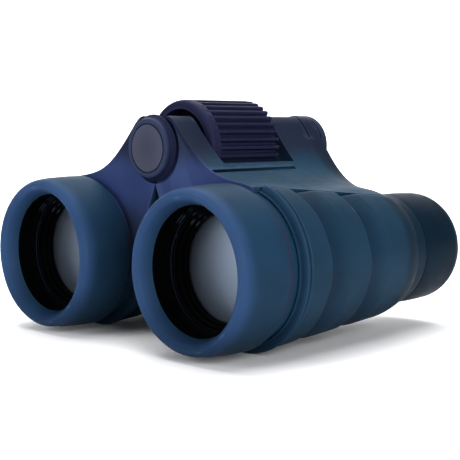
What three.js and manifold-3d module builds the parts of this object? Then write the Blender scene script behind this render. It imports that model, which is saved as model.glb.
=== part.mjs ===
import * as THREE from "three";
import { mergeVertices } from "three/addons/utils/BufferGeometryUtils.js";
import Module from "manifold-3d";

// Central-focus binoculars, folded to their narrowest eye spacing.
// X runs across the barrels (+X is the wearer's left), Y from the objectives (-Y) to the
// eyecups (+Y) and Z is up. Lengths are in millimetres. The pieces are made in a working
// frame whose stations run from the front lip and whose heights run from the optical axes;
// the last group moves that frame to the middle of the footprint.

const wasm = await Module();
wasm.setup();

// ---- Fits ----
const FIT_GAP = 0.3; // between two pieces that are fixed to each other
const RUN_GAP = 0.08; // radial, between a shaft and the bore it turns or slides in
const SEAM_GAP = 0.3; // between the two folded halves

// ---- Overall layout ----
const BARREL_SPACING = 56.3; // between the optical axes when folded
const HINGE_HEIGHT = 27.85; // hinge axis above the optical axes

// ---- Objective end ----
const LENS_DIAMETER = 30;
const LENS_EDGE = 2.2; // thickness at the rim
const LENS_FRONT_RISE = 1.5; // crown of the front face
const LENS_REAR_RISE = 0.8;
const RETAINER_LENGTH = 4.2;
const RETAINER_LAND = 2.1; // how far the retainer covers the lens rim
const SPIGOT_WALL = 3.4; // front sleeve of the housing, outside the lens seat
const SPIGOT_FRONT = 9.9; // station where the sleeve starts, inside the hood
const SEAT_STEP = 1.6; // shoulder behind the lens
const HOOD_WALL = 1.06; // where the hood laps the sleeve
const HOOD_LENGTH = 14.4;
const LIP_DROP = 0.74; // how much slimmer the lip is than the hood's rear
const LIP_OPENING = 16.55; // radius of the mouth
const LIP_ROLL = 1.6; // length of the rounded lip
const LIP_FUNNEL = 4.2; // length of the coloured funnel behind the mouth
const LEDGE_STEP = 1.4; // how much the funnel narrows to its ledge
const LINER_WALL = 1.9;
const LINER_STEP = 1.3; // liner slimmer than the hood's bore
const COLLAR_LENGTH = 3.8; // bare sleeve between hood and flange ring
const FLANGE_WIDTH = 2.2;
const FLANGE_BEVEL = 0.9;
const FLANGE_RISE = 1.0; // flange ring proud of the hood
const FLANGE_GROOVE = 0.8; // between flange ring and grip

// ---- Housing and grip ----
const ARM_SETBACK = 1.8; // front plates behind the hood
const FRONT_ARM_LENGTH = 7.4;
const REAR_ARM_LENGTH = 17.3;
const HOUSING_WALL = 1.8;
const THROAT_LENGTH = 11; // bore that guides the eyepiece tube
const THROAT_WALL = 1.3;
const GRIP_THICKNESS = 1.4;
const SHELL_STEP = 0.2; // shell under the grip, proud of the front sleeve
const SKIRT_DROP = 0.4; // saddle skirt below the grip's surface
const SCOOP_DEPTH = 0.35; // of the two shallow bands moulded into the grip
const SHOULDER_DROP = 1.2; // round-off of the grip at its rear end
const SHOULDER_LENGTH = 7.1;
const SADDLE_TOP_HALF_WIDTH = 5.84;
const ARCH_DROP = 9.35; // underside of the saddle below the hinge axis
const SILL_DROP = 3.7; // sill beside the wheel, below the hinge axis
const BAFFLE_THICKNESS = 1.2;
const BAFFLE_OPENING = 11.5;

// ---- Hinge ----
const KNUCKLE_RADIUS = 8.1;
const FRONT_LAP_SHARE = 0.5; // share of the front arm where its two knuckles meet
const REAR_LAP_SHARE = 0.72;
const FRONT_KNUCKLE_GAP = 0.8; // open ring seen round the front cap
const REAR_KNUCKLE_GAP = 0.35;
const WASHER_THICKNESS = 0.5;
const WASHER_PLAY = 0.15;
const FRONT_PIN_RADIUS = 3.0;
const BUSH_WALL = 1.2;
const CAP_LENGTH = 2.4;
const CAP_OVERHANG = 0.4; // cap beyond the knuckles
const CAP_FLARE = 1.14; // how much wider the cap is at the plates
const CAP_RIM = 1.08; // width of the face round the inset disc
const CAP_DISC_DEPTH = 0.6;
const WASHER_SETBACK = 0.9; // inside the rim of the knuckles

// ---- Focus mechanism ----
const WHEEL_RADIUS = 12.37;
const WHEEL_LENGTH = 24.6;
const WHEEL_FRONT_PLAY = 1.1;
const WHEEL_REAR_PLAY = 1.8;
const WHEEL_RING_WALL = 2.4;
const WHEEL_RIBS = 36;
const WHEEL_RIB_DEPTH = 0.75;
const WHEEL_PLAIN_RIM = 2.8; // smooth rounded front rim
const HUB_DISC = 3; // thickness of the discs that close the wheel's ends
const HUB_BOSS_WALL = 2.5;
const WHEEL_DISH = 2.6; // how far the hub lies inside the ring's ends
const POCKET_CLEARANCE = 0.75;
const SCREW_RADIUS = 2.6;
const NUT_WALL = 1.6;
const NUT_REACH = 9; // nut sleeve ahead of the bridge, inside the rear bush

// ---- Eyepiece end ----
const SLIDE_TUBE_RADIUS = 13;
const SLIDE_TUBE_WALL = 1.4;
const SLIDE_TUBE_REACH = 20; // length of tube inside the housing
const BRIDGE_THICKNESS = 4.4;
const BRIDGE_RING_WALL = 2.2;
const BRIDGE_HUB_RADIUS = 8.5;
const BRIDGE_CAP_LAP = 1.2; // how far the end cap covers the hub round the nut
const BRIDGE_CAP_LENGTH = 1.2;
const BRIDGE_CROWN = 106; // angle round the ring where the arm's slope lands
const EYECUP_LENGTH = 16.8;
const EYECUP_WALL = 1.75;
const EYECUP_END_WALL = 3;
const EYECUP_ROLL = 3.2; // length of the rounded rear rim
const EYE_OPENING = 9.2;
const EYE_LENS_EDGE = 3;
const EYE_LENS_HOLLOW = 1.1;
const EYE_RETAINER_LENGTH = 2;

// ---- Values that follow ----
const AXIS_X = BARREL_SPACING / 2;
const LENS_RADIUS = LENS_DIAMETER / 2;
const LENS_SEAT = LENS_RADIUS + FIT_GAP;
const SPIGOT_RADIUS = LENS_SEAT + SPIGOT_WALL;
const HOOD_BORE = SPIGOT_RADIUS + FIT_GAP;
const HOOD_RADIUS = HOOD_BORE + HOOD_WALL;
const LIP_RADIUS = HOOD_RADIUS - LIP_DROP;
const LINER_RADIUS = HOOD_BORE - LINER_STEP;
const FLANGE_RADIUS = HOOD_RADIUS + FLANGE_RISE;
const FLANGE_FRONT = HOOD_LENGTH + COLLAR_LENGTH;
const FLANGE_REAR = FLANGE_FRONT + FLANGE_WIDTH;
const GRIP_FRONT = FLANGE_REAR + FLANGE_GROOVE;
const ARM_FRONT = HOOD_LENGTH + ARM_SETBACK;
const FRONT_ARM_REAR = ARM_FRONT + FRONT_ARM_LENGTH;
const WHEEL_FRONT = FRONT_ARM_REAR + WHEEL_FRONT_PLAY;
const WHEEL_REAR = WHEEL_FRONT + WHEEL_LENGTH;
const REAR_ARM_FRONT = WHEEL_REAR + WHEEL_REAR_PLAY;
const HOUSING_REAR = REAR_ARM_FRONT + REAR_ARM_LENGTH;
const BRIDGE_FRONT = HOUSING_REAR + FIT_GAP;
const BRIDGE_REAR = BRIDGE_FRONT + BRIDGE_THICKNESS;
const EYECUP_FRONT = BRIDGE_REAR + FIT_GAP;
const OVERALL_LENGTH = EYECUP_FRONT + EYECUP_LENGTH;
const SHELL_FRONT_RADIUS = SPIGOT_RADIUS + SHELL_STEP;
const THROAT_BORE = SLIDE_TUBE_RADIUS + RUN_GAP;
const SHELL_REAR_RADIUS = THROAT_BORE + THROAT_WALL;
const THROAT_FRONT = HOUSING_REAR - THROAT_LENGTH;
const LENS_FRONT = SPIGOT_FRONT + RETAINER_LENGTH + FIT_GAP;
const SEAT_SHOULDER = LENS_FRONT + LENS_EDGE + FIT_GAP;
const LAP_GAP = WASHER_THICKNESS + 2 * WASHER_PLAY;
const CAP_RADIUS = KNUCKLE_RADIUS + CAP_OVERHANG;
const CAP_FRONT_RADIUS = CAP_RADIUS - CAP_FLARE;
const CAP_DISC_RADIUS = CAP_FRONT_RADIUS - CAP_RIM - FIT_GAP;
const SADDLE_TOP = HINGE_HEIGHT + KNUCKLE_RADIUS;
const ARCH_TOP = HINGE_HEIGHT - ARCH_DROP;
const NUT_RADIUS = SCREW_RADIUS + RUN_GAP + NUT_WALL;
const BRIDGE_CAP_RADIUS = NUT_RADIUS + BRIDGE_CAP_LAP;
const BUSH_BORE = NUT_RADIUS + RUN_GAP;
const BUSH_RADIUS = BUSH_BORE + BUSH_WALL;
const SEAT_BORE = SLIDE_TUBE_RADIUS + FIT_GAP;
const EYECUP_RADIUS = SEAT_BORE + EYECUP_WALL;
const BRIDGE_RING_RADIUS = SEAT_BORE + BRIDGE_RING_WALL;
const FACETS = 28; // round a large ring
const SHAFT_FACETS = 24;
const INNER_FACETS = 20; // round the black inner pieces and lenses

// ---- Materials ----
const finish = (color, roughness, metalness) =>
  new THREE.MeshStandardMaterial({ color, roughness, metalness });
const bluePlastic = finish(0x27466f, 0.45, 0);
const tealRubber = finish(0x1d3f59, 0.6, 0);
const violetPlastic = finish(0x363f68, 0.4, 0);
const greyRubber = finish(0x2f2e44, 0.55, 0);
const blackPlastic = finish(0x0c0c0f, 0.7, 0);
const lensGlass = finish(0x6f7f8c, 0.05, 0);
const steel = finish(0x9a9ca0, 0.35, 1);
const brass = finish(0xb59a55, 0.35, 1);

// ---- Geometry helpers ----
// A solid of revolution about Y; the outline is a closed list of [radius, station] pairs.
function turned(outline, facets = FACETS) {
  const points = outline.map(([radius, station]) => new THREE.Vector2(radius, station));
  if (THREE.ShapeUtils.area(points) < 0) {
    points.reverse();
  }
  points.push(points[0].clone());
  return new THREE.LatheGeometry(points, facets);
}

// A plain round bar or bore tool from one station to another.
function bar(radius, front, rear, facets = SHAFT_FACETS) {
  const length = rear - front;
  return new THREE.CylinderGeometry(radius, radius, length, facets).translate(0, front + length / 2, 0);
}

// A round washer, bush or sleeve.
function sleeve(outer, inner, front, rear, facets = SHAFT_FACETS) {
  return turned([[inner, front], [outer, front], [outer, rear], [inner, rear]], facets);
}

// A skin over matching closed sections, each { station, points: [[x, z], ...] }.
function lofted(sections) {
  const count = sections[0].points.length;
  const vertices = sections.flatMap(({ station, points }) => points.flatMap(([x, z]) => [x, station, z]));
  const faces = [];
  for (let s = 0; s < sections.length - 1; s++) {
    for (let i = 0; i < count; i++) {
      const a = s * count + i;
      const b = s * count + ((i + 1) % count);
      faces.push(a, b, a + count, b, b + count, a + count);
    }
  }
  [0, sections.length - 1].forEach((s) => {
    const outline = sections[s].points.map(([x, z]) => new THREE.Vector2(x, z));
    THREE.ShapeUtils.triangulateShape(outline, []).forEach(([a, b, c]) => {
      const start = s * count;
      faces.push(...(s === 0 ? [start + a, start + b, start + c] : [start + a, start + c, start + b]));
    });
  });
  const skin = new THREE.BufferGeometry();
  skin.setAttribute("position", new THREE.Float32BufferAttribute(vertices, 3));
  skin.setIndex(faces);
  return skin;
}

// A section drawn in the XZ plane gives an outward skin when it runs clockwise, X right and Z up.
function clockwise(points) {
  const area = THREE.ShapeUtils.area(points.map(([x, z]) => new THREE.Vector2(x, z)));
  return area < 0 ? points : [...points].reverse();
}

function solid(geometry) {
  const bare = geometry.clone();
  bare.deleteAttribute("normal");
  bare.deleteAttribute("uv");
  const merged = mergeVertices(bare, 1e-4);
  const made = new wasm.Manifold(
    new wasm.Mesh({
      numProp: 3,
      vertProperties: merged.attributes.position.array,
      triVerts: new Uint32Array(merged.index.array),
    }),
  );
  return made;
}

function toGeometry(body) {
  const { vertProperties, triVerts } = body.getMesh();
  const geometry = new THREE.BufferGeometry();
  geometry.setAttribute("position", new THREE.BufferAttribute(vertProperties, 3));
  geometry.setIndex(new THREE.BufferAttribute(triVerts, 1));
  geometry.computeVertexNormals();
  return geometry;
}

function carve(geometry, added, removed) {
  let body = solid(geometry);
  added.forEach((piece) => {
    body = body.add(solid(piece));
  });
  removed.forEach((piece) => {
    body = body.subtract(solid(piece));
  });
  return toGeometry(body);
}

const degrees = (angle) => (angle * Math.PI) / 180;
const mix = (from, to, share) => from + (to - from) * share;

// A point on a circle round one barrel's axis; the angle runs from the outer side upwards.
function onBarrel(side, radius, angle) {
  return [side * (AXIS_X + radius * Math.cos(degrees(angle))), radius * Math.sin(degrees(angle))];
}

// ---- Grip outline along the barrel ----
const GRIP_REAR = HOUSING_REAR;
const GRIP_LENGTH = GRIP_REAR - GRIP_FRONT;
const gripShare = (station) => (station - GRIP_FRONT) / GRIP_LENGTH;
const SHOULDER_START = 1 - SHOULDER_LENGTH / GRIP_LENGTH;

// Shell radius under the grip, a cone with a rounded shoulder.
function shellRadius(station) {
  const share = Math.max(0, gripShare(station));
  const cone = mix(SHELL_FRONT_RADIUS, SHELL_REAR_RADIUS + SHOULDER_DROP, share);
  const past = Math.max(0, share - SHOULDER_START) / (1 - SHOULDER_START);
  return cone - SHOULDER_DROP * past * past;
}

// Two moulded bands, as shares of the grip's length: each dips behind a crest and rises again.
const BANDS = [
  { crest: 0.15, floor: 0.18, end: 0.322 },
  { crest: 0.489, floor: 0.52, end: 0.665 },
];

function bandFall(share) {
  return BANDS.some(({ floor }) => Math.abs(share - floor) < 1e-6) ? SCOOP_DEPTH : 0;
}

const gripRadius = (station) => shellRadius(station) + FIT_GAP + GRIP_THICKNESS;
const skirtRadius = (station) => gripRadius(station) - SKIRT_DROP;

// Upper edge of the grip, which drops a little towards the rear.
const GRIP_TOP = [70.5, 61.5]; // degrees above the outer side, at the front and at the rear
const gripTopAngle = (station) => mix(...GRIP_TOP, gripShare(station));

// Where a line from the saddle's underside touches a barrel of the given radius.
function flankAngle(radius, from) {
  const reach = Math.hypot(AXIS_X - from[0], from[1]);
  const rise = (Math.atan2(from[1], AXIS_X - from[0]) * 180) / Math.PI;
  return 180 - rise + (Math.acos(radius / reach) * 180) / Math.PI;
}

const UNDERSIDE = [SEAM_GAP / 2, ARCH_TOP];
const SADDLE_CUT = 2; // degrees left free between saddle and grip

// ---- Saddle: the bell-shaped web that carries the hinge ----
const BELL_STEPS = 8;
const BELL_SHOULDER_X = 1.8; // from the flat top's corner to the start of the slope
const BELL_SHOULDER_DROP = 1.85;
const BELL_RUNOUT = 10.5; // degrees between the foot of the slope and the saddle's lower edge
const BELL_LANDING = GRIP_TOP[0] + SADDLE_CUT + BELL_RUNOUT;
const BELL_SLOPE = [48, 56]; // degrees below level at the front and at the rear
const SADDLE_ROOT = 0.6; // share of the shell's radius that the web reaches down to

function bellCurve(station) {
  const share = (station - ARM_FRONT) / (HOUSING_REAR - ARM_FRONT);
  const slope = degrees(mix(...BELL_SLOPE, share));
  const landing = onBarrel(1, skirtRadius(station), BELL_LANDING);
  const start = new THREE.Vector2(SADDLE_TOP_HALF_WIDTH + BELL_SHOULDER_X, SADDLE_TOP - BELL_SHOULDER_DROP);
  const end = new THREE.Vector2(...landing);
  const reach = start.distanceTo(end);
  const tilt = degrees(90 - BELL_LANDING);
  const downhill = (angle, length) =>
    new THREE.Vector2(Math.cos(angle), -Math.sin(angle)).multiplyScalar(length);
  const first = start.clone().add(downhill(slope, reach * 0.52));
  const second = end.clone().sub(downhill(tilt, reach * 0.4));
  return new THREE.CubicBezierCurve(start, first, second, end).getPoints(BELL_STEPS);
}

function saddleSection(side, station) {
  const radius = skirtRadius(station);
  const lower = radius - GRIP_THICKNESS;
  const top = gripTopAngle(station) + SADDLE_CUT;
  const points = [
    [side * UNDERSIDE[0], SADDLE_TOP],
    [side * SADDLE_TOP_HALF_WIDTH, SADDLE_TOP],
    ...bellCurve(station).map(({ x, y }) => [side * x, y]),
    onBarrel(side, radius, mix(BELL_LANDING, top, 0.5)),
    onBarrel(side, radius, top),
    onBarrel(side, lower * SADDLE_ROOT, top),
    onBarrel(side, lower * SADDLE_ROOT, flankAngle(lower, UNDERSIDE)),
    onBarrel(side, lower, flankAngle(lower, UNDERSIDE)),
    [side * UNDERSIDE[0], UNDERSIDE[1]],
  ];
  return { station, points: clockwise(points) };
}

// ---- One housing: sleeve, shell, saddle and its share of the hinge ----
const SADDLE_STATIONS = [ARM_FRONT, GRIP_FRONT, mix(GRIP_FRONT, HOUSING_REAR, 0.3),
  mix(GRIP_FRONT, HOUSING_REAR, 0.6), mix(GRIP_FRONT, HOUSING_REAR, 0.86), HOUSING_REAR];
const LAPS = [
  {
    front: ARM_FRONT,
    rear: FRONT_ARM_REAR,
    middle: mix(ARM_FRONT, FRONT_ARM_REAR, FRONT_LAP_SHARE),
    clearance: FRONT_KNUCKLE_GAP,
    bore: FRONT_PIN_RADIUS + RUN_GAP,
  },
  {
    front: REAR_ARM_FRONT,
    rear: HOUSING_REAR,
    middle: mix(REAR_ARM_FRONT, HOUSING_REAR, REAR_LAP_SHARE),
    clearance: REAR_KNUCKLE_GAP,
    bore: BUSH_RADIUS + RUN_GAP,
  },
];

function barrelShell() {
  const stations = [0, 0.5, SHOULDER_START, 1].map((share) => mix(GRIP_FRONT, GRIP_REAR, share));
  return turned([
    [LENS_SEAT - 1, SPIGOT_FRONT],
    [SPIGOT_RADIUS, SPIGOT_FRONT],
    [SPIGOT_RADIUS, GRIP_FRONT - FIT_GAP],
    ...stations.map((station) => [shellRadius(station), station]),
    [THROAT_BORE - 1, GRIP_REAR],
    [THROAT_BORE - 1, SPIGOT_FRONT + 1],
  ]);
}

function barrelBore() {
  const inner = (station) => Math.max(THROAT_BORE, shellRadius(station) - HOUSING_WALL);
  return turned([
    [0, SPIGOT_FRONT - 1],
    [LENS_SEAT, SPIGOT_FRONT - 1],
    [LENS_SEAT, SEAT_SHOULDER],
    [LENS_SEAT - SEAT_STEP, SEAT_SHOULDER],
    [LENS_SEAT - SEAT_STEP, GRIP_FRONT - 1],
    [inner(GRIP_FRONT), GRIP_FRONT],
    [inner(THROAT_FRONT - 1), THROAT_FRONT - 1],
    [THROAT_BORE, THROAT_FRONT],
    [THROAT_BORE, HOUSING_REAR + 1],
    [0, HOUSING_REAR + 1],
  ]);
}

const hingeTool = (geometry) => geometry.translate(0, 0, HINGE_HEIGHT);

// The left half carries the front knuckle of each arm and the right half the rear one.
function knuckles(side) {
  const added = [];
  const removed = [];
  LAPS.forEach((lap) => {
    const meeting = [lap.middle - LAP_GAP / 2, lap.middle + LAP_GAP / 2];
    const own = side > 0 ? [lap.front, meeting[0]] : [meeting[1], lap.rear];
    const other = side > 0 ? [meeting[0], lap.rear + 1] : [lap.front - 1, meeting[1]];
    added.push(hingeTool(bar(KNUCKLE_RADIUS, ...own, FACETS)));
    removed.push(hingeTool(bar(KNUCKLE_RADIUS + lap.clearance, ...other, FACETS)));
  });
  return { added, removed };
}

function wheelPocket() {
  const length = REAR_ARM_FRONT - FRONT_ARM_REAR;
  const height = SADDLE_TOP + 5 - (HINGE_HEIGHT - SILL_DROP);
  return [
    hingeTool(bar(WHEEL_RADIUS + POCKET_CLEARANCE, FRONT_ARM_REAR, REAR_ARM_FRONT, FACETS)),
    new THREE.BoxGeometry(BARREL_SPACING, length, height).translate(
      0,
      FRONT_ARM_REAR + length / 2,
      HINGE_HEIGHT - SILL_DROP + height / 2,
    ),
  ];
}

function housing(side) {
  const shell = barrelShell().translate(side * AXIS_X, 0, 0);
  const saddle = lofted(SADDLE_STATIONS.map((station) => saddleSection(side, station)));
  const hinge = knuckles(side);
  const bores = LAPS.map((lap) => hingeTool(bar(lap.bore, lap.front - 1, lap.rear + 1)));
  const body = solid(shell)
    .add(solid(saddle))
    .subtract(solid(barrelBore().translate(side * AXIS_X, 0, 0)));
  return carve(toGeometry(body), hinge.added, [...hinge.removed, ...wheelPocket(), ...bores]);
}

// ---- Sleeves that wrap the outer side of a barrel as an open ring ----
function openRing(side, station, outer, inner) {
  const steps = 18;
  const from = flankAngle(skirtRadius(station) - GRIP_THICKNESS, UNDERSIDE) - 360 + SADDLE_CUT;
  const to = gripTopAngle(station);
  const arc = (radius) =>
    Array.from({ length: steps + 1 }, (_, i) => onBarrel(side, radius, mix(from, to, i / steps)));
  return { station, points: clockwise([...arc(outer), ...arc(inner).reverse()]) };
}

function grip(side) {
  const roll = 0.4; // rounding of the front edge
  const bands = BANDS.flatMap(({ crest, floor, end }) => [crest, floor, end]);
  const shares = [0, 0.012, ...bands, SHOULDER_START, 0.93, 1];
  return lofted(
    shares.map((share) => {
      const station = mix(GRIP_FRONT, GRIP_REAR, share);
      const fall = share === 0 ? roll : bandFall(share);
      return openRing(side, station, gripRadius(station) - fall, shellRadius(station) + FIT_GAP);
    }),
  );
}

function flangeRing(side) {
  const at = (station, drop) => openRing(side, station, FLANGE_RADIUS - drop, SPIGOT_RADIUS + FIT_GAP);
  return lofted([
    at(FLANGE_FRONT, FLANGE_BEVEL),
    at(FLANGE_FRONT + FLANGE_BEVEL, 0),
    at(FLANGE_REAR - FLANGE_BEVEL, 0),
    at(FLANGE_REAR, FLANGE_BEVEL),
  ]);
}

// ---- Turned pieces of one barrel ----
const LINER_FRONT = LIP_FUNNEL + FIT_GAP;

function objectiveRing() {
  const lipMiddle = (LIP_RADIUS + LIP_OPENING) / 2;
  return turned([
    [LIP_OPENING, 0.9],
    [LIP_OPENING + 0.6, 0.2],
    [lipMiddle, 0],
    [LIP_RADIUS - 0.6, 0.25],
    [LIP_RADIUS, LIP_ROLL],
    [HOOD_RADIUS - 0.1, HOOD_LENGTH * 0.45],
    [HOOD_RADIUS, HOOD_LENGTH - 0.5],
    [HOOD_RADIUS - 0.4, HOOD_LENGTH],
    [HOOD_BORE, HOOD_LENGTH],
    [HOOD_BORE, SPIGOT_FRONT - FIT_GAP],
    [LINER_RADIUS + FIT_GAP, SPIGOT_FRONT - FIT_GAP],
    [LINER_RADIUS + FIT_GAP, LIP_FUNNEL],
    [LIP_OPENING - LEDGE_STEP, LIP_FUNNEL],
  ]);
}

function hoodLiner() {
  const bore = LINER_RADIUS - LINER_WALL;
  const rear = SPIGOT_FRONT - FIT_GAP;
  return turned([
    [LINER_RADIUS, LINER_FRONT],
    [LINER_RADIUS, rear],
    [bore - 0.3, rear],
    [bore - 0.3, rear - 1],
    [bore, rear - 1],
    [bore, LINER_FRONT],
  ], INNER_FACETS);
}

function lens(radius, edge, frontRise, rearRise, front) {
  const rings = 2;
  const face = (rise, station) =>
    Array.from({ length: rings + 1 }, (_, i) => {
      const share = i / rings;
      return [radius * share, station + rise * (1 - share * share)];
    });
  return turned([...face(-frontRise, front), ...face(rearRise, front + edge).reverse()], INNER_FACETS);
}

function lensRetainer() {
  const bore = LENS_RADIUS - RETAINER_LAND;
  const rear = LENS_FRONT - FIT_GAP;
  const hollow = LENS_FRONT_RISE * (1 - (bore / LENS_RADIUS) ** 2); // clears the crown of the lens
  return turned([
    [bore, SPIGOT_FRONT],
    [LENS_SEAT - FIT_GAP, SPIGOT_FRONT],
    [LENS_SEAT - FIT_GAP, rear],
    [bore, rear - hollow],
  ], INNER_FACETS);
}

function baffle() {
  const front = mix(GRIP_FRONT, THROAT_FRONT - SLIDE_TUBE_REACH / 2, 0.35);
  const rear = front + BAFFLE_THICKNESS;
  const radius = Math.max(shellRadius(rear) - HOUSING_WALL - FIT_GAP, BAFFLE_OPENING + 1);
  return sleeve(radius, BAFFLE_OPENING, front, rear, INNER_FACETS);
}

// ---- Turned pieces of one eyepiece ----
const TUBE_REAR = OVERALL_LENGTH - EYECUP_END_WALL - FIT_GAP;
const TUBE_FRONT = HOUSING_REAR - SLIDE_TUBE_REACH;
const TUBE_BORE = SLIDE_TUBE_RADIUS - SLIDE_TUBE_WALL;
const EYE_LENS_RADIUS = TUBE_BORE - FIT_GAP;
const EYE_LENS_FRONT = TUBE_REAR - EYE_LENS_EDGE;
const EYE_RETAINER_REAR = EYE_LENS_FRONT - FIT_GAP;
const EYE_RETAINER_FRONT = EYE_RETAINER_REAR - EYE_RETAINER_LENGTH;

function eyecup() {
  const end = OVERALL_LENGTH;
  return turned([
    [SEAT_BORE, EYECUP_FRONT],
    [EYECUP_RADIUS - 0.15, EYECUP_FRONT],
    [EYECUP_RADIUS, EYECUP_FRONT + 0.4 * EYECUP_LENGTH],
    [EYECUP_RADIUS - 0.3, end - EYECUP_ROLL],
    [EYECUP_RADIUS - 1, end - EYECUP_ROLL / 3],
    [EYECUP_RADIUS - 2.6, end],
    [EYE_OPENING + 1.5, end - 0.2],
    [EYE_OPENING, end - 1.4],
    [EYE_OPENING, end - EYECUP_END_WALL],
    [SEAT_BORE, end - EYECUP_END_WALL],
  ]);
}

function bridgeArm(side) {
  const ringTop = BRIDGE_RING_RADIUS - 0.3;
  const crown = onBarrel(1, ringTop, BRIDGE_CROWN);
  const hubFoot = [BRIDGE_HUB_RADIUS, HINGE_HEIGHT - 3];
  const slope = new THREE.CubicBezierCurve(
    new THREE.Vector2(...hubFoot),
    new THREE.Vector2(hubFoot[0] + 1.2, mix(hubFoot[1], crown[1], 0.45)),
    new THREE.Vector2(mix(hubFoot[0], crown[0], 0.5), crown[1] + 1.4),
    new THREE.Vector2(...crown),
  );
  const low = flankAngle(ringTop, UNDERSIDE);
  const outline = clockwise([
    [side * UNDERSIDE[0], HINGE_HEIGHT],
    [side * BRIDGE_HUB_RADIUS, HINGE_HEIGHT],
    ...slope.getPoints(6).map(({ x, y }) => [side * x, y]),
    onBarrel(side, SLIDE_TUBE_RADIUS, BRIDGE_CROWN),
    onBarrel(side, SLIDE_TUBE_RADIUS, low),
    onBarrel(side, ringTop, low),
    [side * UNDERSIDE[0], UNDERSIDE[1]],
  ]);
  const ring = turned([
    [SEAT_BORE, BRIDGE_FRONT],
    [BRIDGE_RING_RADIUS, BRIDGE_FRONT],
    [EYECUP_RADIUS, BRIDGE_REAR],
    [SEAT_BORE, BRIDGE_REAR],
  ]).translate(side * AXIS_X, 0, 0);
  const middle = (BRIDGE_FRONT + BRIDGE_REAR) / 2;
  const own = side > 0 ? [BRIDGE_FRONT, middle - FIT_GAP / 2] : [middle + FIT_GAP / 2, BRIDGE_REAR];
  const other = side > 0 ? [middle - FIT_GAP / 2, BRIDGE_REAR + 1] : [BRIDGE_FRONT - 1, middle + FIT_GAP / 2];
  const arm = lofted([
    { station: BRIDGE_FRONT, points: outline },
    { station: BRIDGE_REAR, points: outline },
  ]);
  return carve(
    arm,
    [ring, hingeTool(bar(BRIDGE_HUB_RADIUS, ...own, FACETS))],
    [
      bar(SEAT_BORE, BRIDGE_FRONT - 1, BRIDGE_REAR + 1, FACETS).translate(side * AXIS_X, 0, 0),
      hingeTool(bar(BRIDGE_HUB_RADIUS + REAR_KNUCKLE_GAP, ...other, FACETS)),
      hingeTool(bar(NUT_RADIUS + RUN_GAP, BRIDGE_FRONT - 1, BRIDGE_REAR + 1)),
    ],
  );
}

// ---- Hinge and focus pieces, all on the hinge axis ----
const CAP_REAR = ARM_FRONT - FIT_GAP;
const CAP_FRONT = CAP_REAR - CAP_LENGTH;
const PIN_FRONT = CAP_REAR - 1;
const PIN_REAR = WHEEL_FRONT + WHEEL_DISH + 1;
const HUB_FRONT = WHEEL_FRONT + WHEEL_DISH;
const HUB_REAR = WHEEL_REAR - WHEEL_DISH;
const RING_BORE = WHEEL_RADIUS - WHEEL_RING_WALL;
const NUT_FRONT = BRIDGE_FRONT - NUT_REACH;
const SCREW_FRONT = PIN_REAR + 2 * FIT_GAP;
const SCREW_REAR = BRIDGE_REAR - 1;

function hingeCap() {
  return turned([
    [0, CAP_FRONT + CAP_DISC_DEPTH],
    [CAP_DISC_RADIUS + FIT_GAP, CAP_FRONT + CAP_DISC_DEPTH],
    [CAP_DISC_RADIUS + FIT_GAP, CAP_FRONT],
    [CAP_FRONT_RADIUS - 0.4, CAP_FRONT],
    [CAP_FRONT_RADIUS, CAP_FRONT + 0.4],
    [CAP_RADIUS, CAP_REAR - 0.3],
    [CAP_RADIUS, CAP_REAR],
    [FRONT_PIN_RADIUS + FIT_GAP, CAP_REAR],
    [FRONT_PIN_RADIUS + FIT_GAP, PIN_FRONT - FIT_GAP],
    [0, PIN_FRONT - FIT_GAP],
  ]);
}

function focusWheel() {
  const root = WHEEL_RADIUS - WHEEL_RIB_DEPTH;
  const ribFront = WHEEL_FRONT + WHEEL_PLAIN_RIM;
  const pitch = (2 * Math.PI) / WHEEL_RIBS;
  const at = (radius, angle) => [radius * Math.sin(angle), radius * Math.cos(angle)];
  const teeth = Array.from({ length: WHEEL_RIBS }, (_, i) => [
    at(root, (i - 0.28) * pitch),
    at(WHEEL_RADIUS, (i - 0.16) * pitch),
    at(WHEEL_RADIUS, (i + 0.16) * pitch),
    at(root, (i + 0.28) * pitch),
  ]).flat();
  const ribbed = lofted([
    { station: ribFront - 0.5, points: clockwise(teeth) },
    { station: WHEEL_REAR, points: clockwise(teeth) },
  ]);
  const rim = turned([
    [0, WHEEL_FRONT],
    [WHEEL_RADIUS - 1, WHEEL_FRONT],
    [WHEEL_RADIUS - 0.3, WHEEL_FRONT + 0.6],
    [WHEEL_RADIUS, WHEEL_FRONT + 1.6],
    [WHEEL_RADIUS, ribFront],
    [0, ribFront],
  ]);
  return carve(rim, [ribbed], [bar(RING_BORE, WHEEL_FRONT - 1, WHEEL_REAR + 1, FACETS)]);
}

function focusHub() {
  const boss = FRONT_PIN_RADIUS + HUB_BOSS_WALL;
  const disc = RING_BORE - FIT_GAP;
  return turned([
    [FRONT_PIN_RADIUS + RUN_GAP, HUB_FRONT],
    [disc, HUB_FRONT],
    [disc, HUB_FRONT + HUB_DISC],
    [boss, HUB_FRONT + HUB_DISC + 1],
    [boss, HUB_REAR - HUB_DISC - 1],
    [disc, HUB_REAR - HUB_DISC],
    [disc, HUB_REAR],
    [SCREW_RADIUS + FIT_GAP, HUB_REAR],
    [SCREW_RADIUS + FIT_GAP, PIN_REAR + FIT_GAP],
    [FRONT_PIN_RADIUS + RUN_GAP, PIN_REAR + FIT_GAP],
  ], SHAFT_FACETS);
}

function bridgeCap() {
  const front = BRIDGE_REAR + FIT_GAP;
  return turned([
    [0, front],
    [BRIDGE_CAP_RADIUS, front],
    [BRIDGE_CAP_RADIUS, front + BRIDGE_CAP_LENGTH * 0.5],
    [BRIDGE_CAP_RADIUS - 0.9, front + BRIDGE_CAP_LENGTH],
    [0, front + BRIDGE_CAP_LENGTH],
  ], SHAFT_FACETS);
}

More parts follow.
